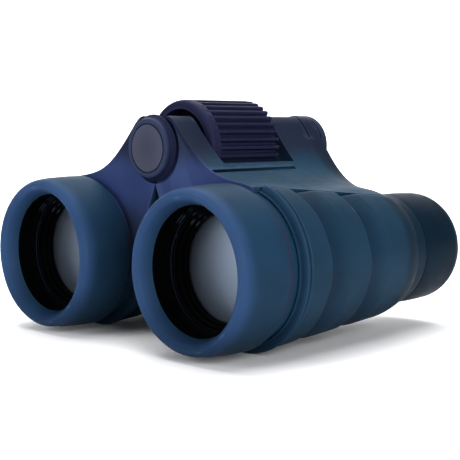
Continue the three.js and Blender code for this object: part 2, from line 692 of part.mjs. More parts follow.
// ---- Assembly ----
const assembly = new THREE.Group();
assembly.position.set(0, -OVERALL_LENGTH / 2, FLANGE_RADIUS);

function place(parent, name, geometry, material) {
  const mesh = new THREE.Mesh(geometry, material);
  mesh.name = name;
  parent.add(mesh);
}

[["left", 1], ["right", -1]].forEach(([name, side]) => {
  place(assembly, name + "_housing", housing(side), violetPlastic);
  place(assembly, name + "_grip", grip(side), tealRubber);
  place(assembly, name + "_flange_ring", flangeRing(side), bluePlastic);
  place(assembly, name + "_bridge_arm", bridgeArm(side), violetPlastic);
  const barrel = new THREE.Group();
  barrel.position.x = side * AXIS_X;
  assembly.add(barrel);
  place(barrel, name + "_objective_ring", objectiveRing(), bluePlastic);
  place(barrel, name + "_hood_liner", hoodLiner(), blackPlastic);
  place(barrel, name + "_lens_retainer", lensRetainer(), blackPlastic);
  place(
    barrel,
    name + "_objective_lens",
    lens(LENS_RADIUS, LENS_EDGE, LENS_FRONT_RISE, LENS_REAR_RISE, LENS_FRONT),
    lensGlass,
  );
  place(barrel, name + "_baffle", baffle(), blackPlastic);
  place(
    barrel,
    name + "_eyepiece_tube",
    sleeve(SLIDE_TUBE_RADIUS, TUBE_BORE, TUBE_FRONT, TUBE_REAR, FACETS),
    blackPlastic,
  );
  place(barrel, name + "_eyecup", eyecup(), tealRubber);
  place(
    barrel,
    name + "_eye_lens",
    lens(EYE_LENS_RADIUS, EYE_LENS_EDGE, -EYE_LENS_HOLLOW, -EYE_LENS_HOLLOW, EYE_LENS_FRONT),
    lensGlass,
  );
  place(
    barrel,
    name + "_eye_lens_retainer",
    sleeve(TUBE_BORE - FIT_GAP, EYE_OPENING, EYE_RETAINER_FRONT, EYE_RETAINER_REAR, INNER_FACETS),
    blackPlastic,
  );
});

const hinge = new THREE.Group();
hinge.position.z = HINGE_HEIGHT;
assembly.add(hinge);
place(hinge, "hinge_cap", hingeCap(), violetPlastic);
place(
  hinge,
  "hinge_cap_disc",
  bar(CAP_DISC_RADIUS, CAP_FRONT, CAP_FRONT + CAP_DISC_DEPTH - FIT_GAP, FACETS),
  greyRubber,
);
place(hinge, "front_hinge_pin", bar(FRONT_PIN_RADIUS, PIN_FRONT, PIN_REAR), steel);
place(
  hinge,
  "rear_hinge_bush",
  sleeve(BUSH_RADIUS, BUSH_BORE, REAR_ARM_FRONT + FIT_GAP, HOUSING_REAR - FIT_GAP),
  brass,
);
LAPS.forEach((lap, i) => {
  const front = lap.middle - WASHER_THICKNESS / 2;
  const name = i === 0 ? "front_hinge_washer" : "rear_hinge_washer";
  const washer = sleeve(KNUCKLE_RADIUS - WASHER_SETBACK, lap.bore, front, front + WASHER_THICKNESS);
  place(hinge, name, washer, blackPlastic);
});
place(hinge, "focus_wheel", focusWheel(), greyRubber);
place(hinge, "focus_wheel_hub", focusHub(), blackPlastic);
place(hinge, "focus_screw", bar(SCREW_RADIUS, SCREW_FRONT, SCREW_REAR), steel);
place(hinge, "focus_nut", sleeve(NUT_RADIUS, SCREW_RADIUS + RUN_GAP, NUT_FRONT, BRIDGE_REAR), brass);
place(hinge, "bridge_cap", bridgeCap(), violetPlastic);

export default assembly;
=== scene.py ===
# %% [markdown]
# # Folding binoculars, piece by piece
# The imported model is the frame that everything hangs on: it knows where each body is and how it moves.
# One could model the looks in free space and scale them on later, but then nothing would meet at the hinge.
# So the frame is loaded first, and every size that it knows is read from it.

# %% Load the frame
import math

import bmesh
import bpy
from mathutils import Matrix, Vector


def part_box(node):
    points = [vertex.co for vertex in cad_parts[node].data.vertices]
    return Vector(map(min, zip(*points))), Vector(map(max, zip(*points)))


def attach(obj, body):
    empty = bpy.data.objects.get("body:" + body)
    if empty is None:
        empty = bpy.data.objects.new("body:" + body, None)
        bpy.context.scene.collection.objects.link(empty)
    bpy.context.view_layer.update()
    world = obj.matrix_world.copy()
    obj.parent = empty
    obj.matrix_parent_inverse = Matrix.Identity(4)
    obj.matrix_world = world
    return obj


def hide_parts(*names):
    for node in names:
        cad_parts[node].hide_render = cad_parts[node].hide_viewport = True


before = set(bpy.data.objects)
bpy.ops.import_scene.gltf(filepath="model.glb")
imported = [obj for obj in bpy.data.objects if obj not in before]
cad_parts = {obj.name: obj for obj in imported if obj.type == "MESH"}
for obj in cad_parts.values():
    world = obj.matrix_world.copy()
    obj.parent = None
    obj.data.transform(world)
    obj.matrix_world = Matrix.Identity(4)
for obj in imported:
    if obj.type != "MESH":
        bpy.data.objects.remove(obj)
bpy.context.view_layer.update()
scene = bpy.context.scene

# %% [markdown]
# A barrel is easiest to draw as it stands in a lathe: stations run from the front lip towards the eye,
# radii run out from the optical axis, and both are in millimetres. One small function turns such a place
# into the frame's metres, so no other line has to think about the shift between the two.

# %% The bench frame
MM = 0.001


def span(node, axis):
    """Lowest and highest coordinate of a node along one axis, in millimetres."""
    low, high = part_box(node)
    return low[axis] / MM, high[axis] / MM


def middle(node, axis):
    low, high = span(node, axis)
    return (low + high) / 2


LIP_Y = span("left_objective_ring", 1)[0]
AXIS_X = middle("left_objective_ring", 0)
AXIS_Z = middle("left_objective_ring", 2)
HINGE_Z = middle("focus_wheel", 2) - AXIS_Z
OVERALL = span("left_eyecup", 1)[1] - LIP_Y


def at(x, station, z):
    """A place on the bench, in the frame's metres."""
    return Vector((x * MM, (LIP_Y + station) * MM, (AXIS_Z + z) * MM))


def stations(node):
    """Front and rear station of a node."""
    low, high = span(node, 1)
    return low - LIP_Y, high - LIP_Y


def middle_station(node):
    return sum(stations(node)) / 2


def radius_of(node):
    """Outer radius of a round node."""
    low, high = span(node, 2)
    return (high - low) / 2


print(f"optical axes at x = +-{AXIS_X:.2f} mm, hinge {HINGE_Z:.2f} mm above them, {OVERALL:.1f} mm long")

# %% [markdown]
# Moulded and turned pieces never end in a knife edge. A bevel modifier could break every edge, but it also
# finds edges that should stay crisp. Here each corner of an outline carries its own fillet instead, so the
# rounding is part of the drawing, as it is on a mould maker's plan.

# %% Outlines with fillets
def quadratic(start, corner, end, t):
    """A place on the curve that leaves start and reaches end along the two sides of a corner."""
    return start * (1 - t) ** 2 + corner * 2 * t * (1 - t) + end * t ** 2


def cubic(start, first, second, end, steps):
    """Points along a Bezier curve."""
    points = []
    for i in range(steps + 1):
        t = i / steps
        near = start * (1 - t) ** 3 + first * 3 * t * (1 - t) ** 2
        points.append(near + second * 3 * t * t * (1 - t) + end * t ** 3)
    return points


def rounded(corners, steps=5):
    """A closed outline from (radius, station, fillet) corners, each rounded by a short curve."""
    outline = []
    count = len(corners)
    for i, (radius, station, fillet) in enumerate(corners):
        corner = Vector((radius, station))
        back = Vector(corners[i - 1][:2]) - corner
        ahead = Vector(corners[(i + 1) % count][:2]) - corner
        cut = min(fillet, 0.45 * back.length, 0.45 * ahead.length)
        if cut < 0.01:
            outline.append(tuple(corner))
            continue
        start = corner + back.normalized() * cut
        end = corner + ahead.normalized() * cut
        outline += [tuple(quadratic(start, corner, end, step / steps)) for step in range(steps + 1)]
    return outline


# %% [markdown]
# Most pieces are turned about an axis. Blender's screw modifier can do it, yet it leaves a seam to weld and
# a direction to guess. Spinning the outline by hand gives one closed skin straight away, in 144 facets, fine
# enough for a ring that fills a third of the picture.

# %% Turning a piece
FACETS = 144


def new_piece(name, points, faces, sharp=35):
    """A mesh object with outward normals, smooth apart from edges sharper than the angle given."""
    mesh = bpy.data.meshes.new(name)
    mesh.from_pydata(points, [], faces)
    work = bmesh.new()
    work.from_mesh(mesh)
    bmesh.ops.remove_doubles(work, verts=work.verts, dist=1e-7)
    bmesh.ops.recalc_face_normals(work, faces=work.faces)
    work.to_mesh(mesh)
    work.free()
    mesh.shade_smooth()
    mesh.set_sharp_from_angle(angle=math.radians(sharp))
    piece = bpy.data.objects.new(name, mesh)
    scene.collection.objects.link(piece)
    return piece


def turned(name, corners, x=0.0, z=0.0, facets=FACETS, sharp=35):
    """A closed outline of (radius, station, fillet) corners, spun about a line along Y."""
    outline = rounded(corners)
    count = len(outline)
    points = []
    for i in range(facets):
        angle = 2 * math.pi * i / facets
        points += [at(x + r * math.cos(angle), s, z + r * math.sin(angle)) for r, s in outline]
    faces = []
    for i in range(facets):
        here, there = i * count, ((i + 1) % facets) * count
        for j in range(count):
            k = (j + 1) % count
            faces.append((here + j, here + k, there + k, there + j))
    return new_piece(name, points, faces, sharp)


def lofted(name, sections, sharp=35):
    """Matching closed sections, each (station, [(x, z), ...]), joined by a skin and closed at both ends."""
    count = len(sections[0][1])
    points = [at(x, station, z) for station, outline in sections for x, z in outline]
    faces = [tuple(range(count)), tuple(range(len(points) - count, len(points)))]
    for s in range(len(sections) - 1):
        for i in range(count):
            k = (i + 1) % count
            faces.append((s * count + i, s * count + k, (s + 1) * count + k, (s + 1) * count + i))
    return new_piece(name, points, faces, sharp)


# %% [markdown]
# A housing is a sleeve with a web grown onto it, bored out and notched for the wheel. Pushing vertices about
# would be endless. Boolean modifiers do what a milling machine does, and baking each one at once keeps the
# model free of helper objects.

# %% Joining, cutting and breaking edges
def baked(piece):
    """Makes the piece's modifiers permanent."""
    graph = bpy.context.evaluated_depsgraph_get()
    mesh = bpy.data.meshes.new_from_object(piece.evaluated_get(graph))
    piece.modifiers.clear()
    old = piece.data
    piece.data = mesh
    bpy.data.meshes.remove(old)
    return piece


def machined(piece, tools, operation):
    """Joins tools to a piece (UNION) or cuts them away (DIFFERENCE)."""
    for tool in tools:
        cut = piece.modifiers.new(operation.title(), "BOOLEAN")
        cut.operation = operation
        cut.solver = "EXACT"
        cut.object = tool
        baked(piece)
        bpy.data.objects.remove(tool)
    return piece


def broken_edges(piece, width):
    """A small moulded radius on every edge that turns by more than 32 degrees."""
    work = bmesh.new()
    work.from_mesh(piece.data)
    bmesh.ops.remove_doubles(work, verts=work.verts, dist=2e-6)
    bmesh.ops.dissolve_degenerate(work, dist=2e-6, edges=work.edges)
    work.to_mesh(piece.data)
    work.free()
    bevel = piece.modifiers.new("Edges", "BEVEL")
    bevel.width = width * MM
    bevel.segments = 3
    bevel.limit_method = "ANGLE"
    bevel.angle_limit = math.radians(32)
    bevel.miter_outer = "MITER_ARC"
    baked(piece)
    piece.data.shade_smooth()
    piece.data.set_sharp_from_angle(angle=math.radians(40))
    weights = piece.modifiers.new("Normals", "WEIGHTED_NORMAL")
    weights.keep_sharp = True
    return piece


# %% [markdown]
# ## Finishes
# Moulded plastic looks flat when it has a single colour. Real mouldings vary a little in tone where the
# melt flowed, carry a fine spark-eroded grain, and polish up along the edges that fingers meet; on the black
# lining the same lighter edges are a painted highlight. One recipe with three noise textures covers all of
# them: a broad one for tone, a fine one for grain, and a streaky one for handling marks. The grain is in
# object coordinates, so it keeps its size on every piece.

# %% A recipe for moulded surfaces
def node(tree, kind, **settings):
    made = tree.nodes.new(kind)
    for key, value in settings.items():
        setattr(made, key, value)
    return made


def fresh(name):
    """A new material with its node tree and its shader."""
    material = bpy.data.materials.new(name)
    material.use_nodes = True
    return material, material.node_tree, material.node_tree.nodes["Principled BSDF"]


def noise(tree, scale, detail, roughness=0.5):
    """A noise texture in object coordinates; scale is in features per metre."""
    coordinates = node(tree, "ShaderNodeTexCoord")
    texture = node(tree, "ShaderNodeTexNoise")
    tree.links.new(coordinates.outputs["Object"], texture.inputs["Vector"])
    texture.inputs["Scale"].default_value = scale
    texture.inputs["Detail"].default_value = detail
    texture.inputs["Roughness"].default_value = roughness
    return texture.outputs["Fac"]


def ramp(tree, source, low, high, dark, light):
    """Maps a value between two colours."""
    made = node(tree, "ShaderNodeValToRGB")
    made.color_ramp.elements[0].position = low
    made.color_ramp.elements[1].position = high
    made.color_ramp.elements[0].color = (*dark, 1)
    made.color_ramp.elements[1].color = (*light, 1)
    tree.links.new(source, made.inputs["Fac"])
    return made.outputs["Color"]


def spread(tree, source, low, high):
    """Stretches a noise value over a numeric range."""
    made = node(tree, "ShaderNodeMapRange")
    made.inputs["From Min"].default_value = 0.3
    made.inputs["From Max"].default_value = 0.7
    made.inputs["To Min"].default_value = low
    made.inputs["To Max"].default_value = high
    tree.links.new(source, made.inputs["Value"])
    return made.outputs["Result"]


def mottled(tree, colour, grades):
    """A slightly mottled colour. Each grade (colour, axis, start, end, share) blends one more colour in."""
    source = None
    for other, axis, start, end, share in grades:
        coordinates = node(tree, "ShaderNodeTexCoord")
        parts = node(tree, "ShaderNodeSeparateXYZ")
        tree.links.new(coordinates.outputs["Object"], parts.inputs["Vector"])
        slide = node(tree, "ShaderNodeMapRange", interpolation_type="SMOOTHSTEP")
        slide.inputs["From Min"].default_value = start
        slide.inputs["From Max"].default_value = end
        slide.inputs["To Max"].default_value = share
        tree.links.new(parts.outputs[axis], slide.inputs["Value"])
        blend = node(tree, "ShaderNodeMix", data_type="RGBA")
        tree.links.new(slide.outputs["Result"], blend.inputs["Factor"])
        blend.inputs[6].default_value = (*colour, 1)
        if source:
            tree.links.new(source, blend.inputs[6])
        blend.inputs[7].default_value = (*other, 1)
        source = blend.outputs[2]
    mottle = node(tree, "ShaderNodeMix", data_type="RGBA", blend_type="MULTIPLY")
    mottle.inputs["Factor"].default_value = 1.0
    mottle.inputs[6].default_value = (*colour, 1)
    if source:
        tree.links.new(source, mottle.inputs[6])
    tree.links.new(ramp(tree, noise(tree, 70, 3), 0.35, 0.65, (0.84,) * 3, (1.0,) * 3), mottle.inputs[7])
    return mottle.outputs[2]


def moulded(name, colour, gloss, grain, grain_depth, shine=0.05, edge_wear_and_highlight=0.25, edge=None, grades=()):
    """Plastic or rubber: linear colour, (smooth, dull) roughness pair, grain in grains per metre."""
    material, tree, shader = fresh(name)
    tone = mottled(tree, colour, grades)
    edges = node(tree, "ShaderNodeNewGeometry")
    # Lighter edges by pointiness: rubbed wear on most finishes; on the black lining, at full share, a painted
    # highlight.
    wear_and_highlight_edges = ramp(tree, edges.outputs["Pointiness"], 0.515, 0.6, (0, 0, 0), edge or [c * 1.6 for c in colour])
    wear_and_highlight_blend = node(tree, "ShaderNodeMix", data_type="RGBA", blend_type="SCREEN")
    wear_and_highlight_blend.inputs["Factor"].default_value = edge_wear_and_highlight
    tree.links.new(tone, wear_and_highlight_blend.inputs[6])
    tree.links.new(wear_and_highlight_edges, wear_and_highlight_blend.inputs[7])
    tree.links.new(wear_and_highlight_blend.outputs[2], shader.inputs["Base Color"])
    tree.links.new(spread(tree, noise(tree, 260, 5, 0.65), *gloss), shader.inputs["Roughness"])
    bump = node(tree, "ShaderNodeBump")
    bump.inputs["Strength"].default_value = 0.6
    bump.inputs["Distance"].default_value = grain_depth * MM
    tree.links.new(noise(tree, grain, 2), bump.inputs["Height"])
    tree.links.new(bump.outputs["Normal"], shader.inputs["Normal"])
    shader.inputs["Specular IOR Level"].default_value = shine
    material.diffuse_color = (*colour, 1)
    return material


# %% [markdown]
# The plastics are not one blue. Faces towards the front are painted a lighter violet or blue as painted
# light, the sides behind them a darker teal as painted shade, the undersides darker as painted shade, and the
# mouldings go nearly black towards the eye. Painting that on would need a map of every piece; here each
# colour takes over along X, Y or Z instead, between two places in metres.

# %% Moulded finishes
LIP_FRONT = LIP_Y * MM
CAP_FACE = (LIP_Y + stations("hinge_cap")[0]) * MM
PLATE_FACE = (LIP_Y + stations("hinge_cap")[1]) * MM
HINGE_HEIGHT = (AXIS_Z + HINGE_Z) * MM
DARK_END = (0.006, 0.017, 0.030)
UNDERSIDE_PAINTED_SHADE = (0.004, 0.014, 0.026)
UNDERSIDE_SHADE_FROM, UNDERSIDE_SHADE_TO = (AXIS_Z - 4) * MM, (AXIS_Z - 18) * MM
SHOULDER_START = (LIP_Y + 61.3) * MM
COLLAR_GREY = (0.026, 0.036, 0.063)
PLATE_FOOT = (AXIS_Z + 5) * MM
PLATE_REACH = (AXIS_X + 6.5) * MM

hood_blue = moulded(
    "hood_blue_plastic", (0.028, 0.060, 0.130), (0.46, 0.56), 2600, 0.010,
    grades=[
        # Painted light and shade: the lip keeps the lighter blue, and the wall behind it is painted a darker
        # teal as painted shade.
        ((0.013, 0.037, 0.066), "Y", LIP_FRONT + 0.0010, LIP_FRONT + 0.0050, 0.9),
        # Painted shade: darker towards the bottom.
        (UNDERSIDE_PAINTED_SHADE, "Z", UNDERSIDE_SHADE_FROM, UNDERSIDE_SHADE_TO, 0.5),
    ],
)

# %% [markdown]
# Just behind the crest of each scoop the grip is painted darker, as painted shade on the falling slope, and
# the colour fades back to the plain teal towards the scoop's rear. The scoops are given once, as shares of
# the sleeve's length, and both this painted shade and the shape further on are made from them.

# %% Grip finish
GRIP_TEAL = (0.014, 0.038, 0.066)
SCOOP_PAINTED_SHADE = (0.007, 0.021, 0.040)
SCOOPS = [(0.150, 0.322), (0.489, 0.665)]

grip_start, grip_end = (LIP_Y + station for station in stations("left_grip"))
scoop_shade_grades = []
for front, rear in SCOOPS:
    crest = (grip_start + front * (grip_end - grip_start)) * MM
    end = (grip_start + rear * (grip_end - grip_start)) * MM
    # Painted shade: darker just behind each crest, fading back to the plain teal by the scoop's rear.
    scoop_shade_grades.append((SCOOP_PAINTED_SHADE, "Y", crest, crest + 0.0010, 0.7))
    scoop_shade_grades.append((GRIP_TEAL, "Y", crest + 0.0018, end, 1.0))
grip_teal = moulded(
    "grip_teal_rubber", GRIP_TEAL, (0.48, 0.60), 3200, 0.016, edge_wear_and_highlight=0.55, edge=(0.050, 0.095, 0.140),
    grades=scoop_shade_grades + [
        # Painted shade: darker towards the bottom.
        (UNDERSIDE_PAINTED_SHADE, "Z", UNDERSIDE_SHADE_FROM, UNDERSIDE_SHADE_TO, 0.4),
        (DARK_END, "Y", SHOULDER_START - 0.0010, SHOULDER_START + 0.0025, 0.85),
    ],
)
print("grip colours change at", [round(start, 4) for _, _, start, _, _ in scoop_shade_grades], "m")

# %% [markdown]
# The other mouldings follow the same recipe: the housings, with painted light in violet on the plate faces
# and painted shade in teal behind them, the cap, whose side is painted darker as painted shade, the wheel,
# the eyecups, and the black inside of the barrels, where a painted highlight lies along the edges of the
# steps.

# %% Finishes of the other mouldings
cup_teal = moulded("cup_teal_rubber", (0.005, 0.015, 0.028), (0.42, 0.55), 3200, 0.016)
body_violet = moulded(
    "body_violet_plastic", COLLAR_GREY, (0.44, 0.54), 2800, 0.010,
    grades=[
        # Painted light: the front faces of the plates, high up and near the middle, are painted a lighter
        # violet.
        ((0.034, 0.053, 0.138), "Z", PLATE_FOOT, PLATE_FOOT + 0.0120, 1.0),
        (COLLAR_GREY, "X", PLATE_REACH, PLATE_REACH + 0.0020, 1.0),
        (COLLAR_GREY, "X", -PLATE_REACH, -PLATE_REACH - 0.0020, 1.0),
        # Painted shade: behind the plate faces the housing is painted a darker teal.
        ((0.012, 0.042, 0.074), "Y", PLATE_FACE + 0.0005, PLATE_FACE + 0.0014, 1.0),
        (DARK_END, "Y", SHOULDER_START, SHOULDER_START + 0.0040, 0.9),
        ((0.013, 0.017, 0.035), "Z", HINGE_HEIGHT - 0.0060, HINGE_HEIGHT + 0.0010, 0.9),
    ],
)
cap_violet = moulded(
    "cap_violet_plastic", (0.031, 0.041, 0.080), (0.44, 0.54), 2800, 0.010,
    # Painted shade: the cap's side, behind its face, is painted darker.
    grades=[((0.013, 0.017, 0.042), "Y", CAP_FACE + 0.0005, CAP_FACE + 0.0011, 1.0)],
)
wheel_grey = moulded("wheel_grey_rubber", (0.017, 0.019, 0.046), (0.45, 0.55), 3400, 0.014, edge_wear_and_highlight=0.35)
disc_grey = moulded("disc_grey_rubber", (0.041, 0.044, 0.066), (0.5, 0.62), 3400, 0.014)
inner_black = moulded(
    "inner_black_plastic", (0.0008, 0.0010, 0.0016), (0.45, 0.6), 4200, 0.02,
    # Painted highlight: at full share the edge colour paints a thin light line on every step of the black
    # parts.
    shine=0.04, edge_wear_and_highlight=1.0, edge=(0.030, 0.038, 0.052),
)
finishes = [m.name for m in bpy.data.materials if m.name.endswith(("plastic", "rubber"))]
print("moulded finishes:", ", ".join(finishes))

# %% [markdown]
# Turned metal shows the lathe: fine rings round the axis, brighter along one direction. A noise texture
# squeezed along Y gives such rings on any piece whose axis runs that way, without a texture map.

# %% Turned metal and coated glass
def metal(name, colour, gloss):
    material, tree, shader = fresh(name)
    shader.inputs["Metallic"].default_value = 1.0
    coordinates = node(tree, "ShaderNodeTexCoord")
    squeeze = node(tree, "ShaderNodeMapping")
    squeeze.inputs["Scale"].default_value = (40, 6000, 40)
    rings = node(tree, "ShaderNodeTexNoise")
    rings.inputs["Scale"].default_value = 1.0
    tree.links.new(coordinates.outputs["Object"], squeeze.inputs["Vector"])
    tree.links.new(squeeze.outputs["Vector"], rings.inputs["Vector"])
    tone = ramp(tree, rings.outputs["Fac"], 0.3, 0.7, [c * 0.8 for c in colour], colour)
    tree.links.new(tone, shader.inputs["Base Color"])
    tree.links.new(spread(tree, rings.outputs["Fac"], *gloss), shader.inputs["Roughness"])
    bump = node(tree, "ShaderNodeBump")
    bump.inputs["Strength"].default_value = 0.4
    bump.inputs["Distance"].default_value = 0.01 * MM
    tree.links.new(rings.outputs["Fac"], bump.inputs["Height"])
    tree.links.new(bump.outputs["Normal"], shader.inputs["Normal"])
    return material


def coated_glass(name, colour):
    """A lens with a dark tube behind it: what is seen is the reflection on its coating."""
    material, tree, shader = fresh(name)
    haze = ramp(tree, noise(tree, 55, 2), 0.3, 0.7, [c * 0.94 for c in colour], [c * 1.06 for c in colour])
    tree.links.new(haze, shader.inputs["Base Color"])
    shader.inputs["Roughness"].default_value = 0.42
    shader.inputs["Metallic"].default_value = 0.85
    return material


steel = metal("turned_steel", (0.56, 0.57, 0.6), (0.24, 0.36))
brass = metal("turned_brass", (0.62, 0.46, 0.2), (0.24, 0.36))
lens_glass = coated_glass("coated_lens_glass", (0.135, 0.165, 0.210))

# %% [markdown]
# Every finished piece is handed over in the same way: it takes a material, rides on the body that carries it,
# and stands for one node of the frame.


def fitted(piece, material, body, *nodes):
    """Gives a piece its finish, its body and the frame nodes that it stands for."""
    piece.data.materials.clear()
    piece.data.materials.append(material)
    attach(piece, body)
    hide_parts(*nodes)
    return piece


SIDES = {"left": 1, "right": -1}
FIT = 0.3
RUN = 0.08

# %% [markdown]
# ## The objective rings
# The ring in front of each lens is a lens hood. Its lip is a soft bead that bumps against things, its wall
# flares a little towards the rear, and inside it opens into a black stepped lining that swallows stray
# light. A torus and a tube would leave a hard joint where they meet, so the whole ring is one outline.

# %% Hood outline
HOOD_LENGTH = stations("left_objective_ring")[1]
HOOD_RADIUS = radius_of("left_objective_ring")
LIP_RADIUS = HOOD_RADIUS - 0.74
MOUTH = 16.55
LINER_RADIUS = radius_of("left_hood_liner")
LINER_FRONT, LINER_REAR = stations("left_hood_liner")
SLEEVE_RADIUS = HOOD_RADIUS - 1.06


def hood(side, x):
    corners = [
        (MOUTH - 1.1, LINER_FRONT - 0.3, 0.1),
        (MOUTH - 0.9, LINER_FRONT - 0.7, 0.15),
        (MOUTH, 1.0, 0.6),
        (MOUTH + 1.0, 0.0, 0.9),
        (LIP_RADIUS - 1.1, 0.0, 0.9),
        (LIP_RADIUS, 1.3, 1.0),
        (LIP_RADIUS + 0.45, 4.0, 1.5),
        (HOOD_RADIUS, HOOD_LENGTH * 0.72, 3.0),
        (HOOD_RADIUS, HOOD_LENGTH, 0.45),
        (SLEEVE_RADIUS, HOOD_LENGTH, 0.15),
        (SLEEVE_RADIUS, LINER_REAR, 0.1),
        (LINER_RADIUS + FIT, LINER_REAR, 0.1),
        (LINER_RADIUS + FIT, LINER_FRONT - 0.3, 0.1),
    ]
    ring = turned(f"{side}_hood", corners, x)
    return fitted(ring, hood_blue, f"{side}_barrel", f"{side}_objective_ring")


for side, sign in SIDES.items():
    hood(side, sign * AXIS_X)
print(f"hood {HOOD_LENGTH:.1f} mm long, {2 * HOOD_RADIUS:.1f} mm across")

# %% [markdown]
# The lining is where the light stops. Two fine ledges run round it, left by the thread that holds the lens
# in, and they catch a thin line of light, to which the black finish adds a highlight painted along their
# edges.
# They are real steps in the outline, because a bump texture would not show against black.

# %% Hood lining
def lining(side, x):
    bore = LINER_RADIUS - 1.9
    corners = [
        (LINER_RADIUS, LINER_FRONT, 0.1),
        (LINER_RADIUS, LINER_REAR, 0.1),
        (bore - 0.75, LINER_REAR, 0.08),
        (bore - 0.75, LINER_REAR - 0.5, 0.08),
        (bore - 0.35, LINER_REAR - 0.5, 0.05),
        (bore - 0.35, LINER_REAR - 1.0, 0.08),
        (bore, LINER_REAR - 1.0, 0.05),
        (bore + 0.1, LINER_FRONT + 0.5, 0.05),
        (bore - 0.2, LINER_FRONT + 0.5, 0.08),
        (bore - 0.2, LINER_FRONT, 0.08),
    ]
    piece = turned(f"{side}_hood_lining", corners, x)
    return fitted(piece, inner_black, f"{side}_barrel", f"{side}_hood_liner")


for side, sign in SIDES.items():
    lining(side, sign * AXIS_X)

# %% [markdown]
# ## The objective lens and its retainer
# A lens is two spherical caps back to back. A squashed sphere has no rim, so the caps are drawn from the
# lens maker's rule instead: the drop of a sphere at each radius, measured from its crown.

# %% Ground glass
REAR_RISE = 0.8


def dome(radius, rise, station, steps=24):
    """Points from the middle of a face to its rim; a positive rise bulges towards the front."""
    curve = (radius ** 2 + rise ** 2) / (2 * abs(rise))
    made = []
    for i in range(steps + 1):
        r = radius * i / steps
        drop = curve - math.sqrt(curve ** 2 - r ** 2)
        made.append((max(r, 0.001), station + math.copysign(drop, rise) - rise, 0))
    return made


def lens(name, node_name, x, body, front_rise, rear_rise):
    front, rear = stations(node_name)
    radius = radius_of(node_name)
    front_rim = front + max(front_rise, 0)
    rear_rim = rear - max(rear_rise, 0)
    back = [(r, 2 * rear_rim - s, f) for r, s, f in dome(radius, rear_rise, rear_rim)]
    piece = turned(name, dome(radius, front_rise, front_rim) + back[::-1], x, sharp=25)
    return fitted(piece, lens_glass, body, node_name)


for side, sign in SIDES.items():
    lens(f"{side}_front_glass", f"{side}_objective_lens", sign * AXIS_X, f"{side}_barrel", 1.5, REAR_RISE)
    lens(f"{side}_eye_glass", f"{side}_eye_lens", sign * AXIS_X, f"{side}_eyepiece", -1.1, -1.1)

# %% [markdown]
# A threaded ring holds each lens down. From outside only its bevelled inner edge shows, a dark line round
# the glass, so the outline spends its points there.

# %% Retaining rings
def ring(name, node_name, x, body, inner, bevel):
    front, rear = stations(node_name)
    outer = radius_of(node_name)
    corners = [
        (outer, front, 0.15),
        (outer, rear, 0.15),
        (inner, rear, 0.15),
        (inner, front + bevel, 0.15),
        (inner + bevel, front, 0.15),
    ]
    return fitted(turned(name, corners, x), inner_black, body, node_name)


for side, sign in SIDES.items():
    x = sign * AXIS_X
    ring(f"{side}_stop", f"{side}_baffle", x, f"{side}_barrel", 11.5, 0.4)
    ring(f"{side}_eye_retainer", f"{side}_eye_lens_retainer", x, f"{side}_eyepiece", 9.2, 0.4)
    tube_bore = radius_of(f"{side}_eyepiece_tube") - 1.4
    ring(f"{side}_slide_tube", f"{side}_eyepiece_tube", x, f"{side}_eyepiece", tube_bore, 0.3)

# %% [markdown]
# The retainer of the objective is deeper than the others. It steps inwards like the inside of a lens hood,
# so that no wall of it lies at a slant that would throw light onto the glass.

# %% Stepped retainer
def front_retainer(side, x):
    front, rear = stations(f"{side}_lens_retainer")
    outer = radius_of(f"{side}_lens_retainer")
    land = radius_of(f"{side}_objective_lens") - 2.1
    corners = [
        (outer, front, 0.1),
        (outer, rear, 0.1),
        (land, rear - 0.45, 0.08),
        (land, rear - 1.5, 0.08),
        (land + 0.6, rear - 1.5, 0.05),
        (land + 0.6, rear - 2.8, 0.08),
        (land + 1.3, rear - 2.8, 0.05),
        (land + 1.3, front, 0.15),
    ]
    piece = turned(f"{side}_front_retainer", corners, x)
    return fitted(piece, inner_black, f"{side}_barrel", f"{side}_lens_retainer")


for side, sign in SIDES.items():
    front_retainer(side, sign * AXIS_X)

# %% [markdown]
# ## The eyecup
# Soft rubber, turned in at the rear where it meets the brow. The outer wall is very slightly barrelled, and
# the rolled end has a big radius outside and a small one at the opening.

# %% Eyecup outline
EYECUP_RADIUS = radius_of("left_eyecup")


def eyecup(side, x):
    front, rear = stations(f"{side}_eyecup")
    seat = EYECUP_RADIUS - 1.75
    mouth = 9.2
    corners = [
        (seat, front, 0.1),
        (EYECUP_RADIUS - 0.15, front, 0.3),
        (EYECUP_RADIUS, front + 6.0, 4.0),
        (EYECUP_RADIUS - 0.3, rear - 2.6, 2.0),
        (EYECUP_RADIUS - 1.6, rear, 1.6),
        (mouth + 1.6, rear, 0.9),
        (mouth, rear - 1.2, 0.6),
        (mouth, rear - 3.0, 0.15),
        (seat, rear - 3.0, 0.1),
    ]
    return fitted(turned(f"{side}_eyecup_rubber", corners, x), cup_teal, f"{side}_eyepiece", f"{side}_eyecup")


for side, sign in SIDES.items():
    eyecup(side, sign * AXIS_X)

# %% [markdown]
# ## The grip
# The grip is a rubber sleeve that wraps the outer side of each barrel and stops where the saddle begins. It
# tapers to the rear, with two scoops across it. Each scoop drops sharply behind a crest and rises
# softly to the rear. They fade out on the outermost side, where the palm lies, and run deepest at the upper
# edge. Sculpting would hide that rule, so the radius is written as a function of the angle round the barrel
# and the station along it.

# %% Grip sizes
GRIP_FRONT, GRIP_REAR = stations("left_grip")
GRIP_THICKNESS = 1.4
SHELL_FRONT = SLEEVE_RADIUS - 0.1
SHELL_REAR = radius_of("left_eyepiece_tube") + RUN + 1.3
SHOULDER = 0.85
SHOULDER_DROP = 1.2
ARCH_TOP = HINGE_Z - 9.35


def mix(low, high, share):
    return low + (high - low) * share


def smooth(share):
    share = min(1.0, max(0.0, share))
    return share * share * (3 - 2 * share)


def grip_share(station):
    return (station - GRIP_FRONT) / (GRIP_REAR - GRIP_FRONT)


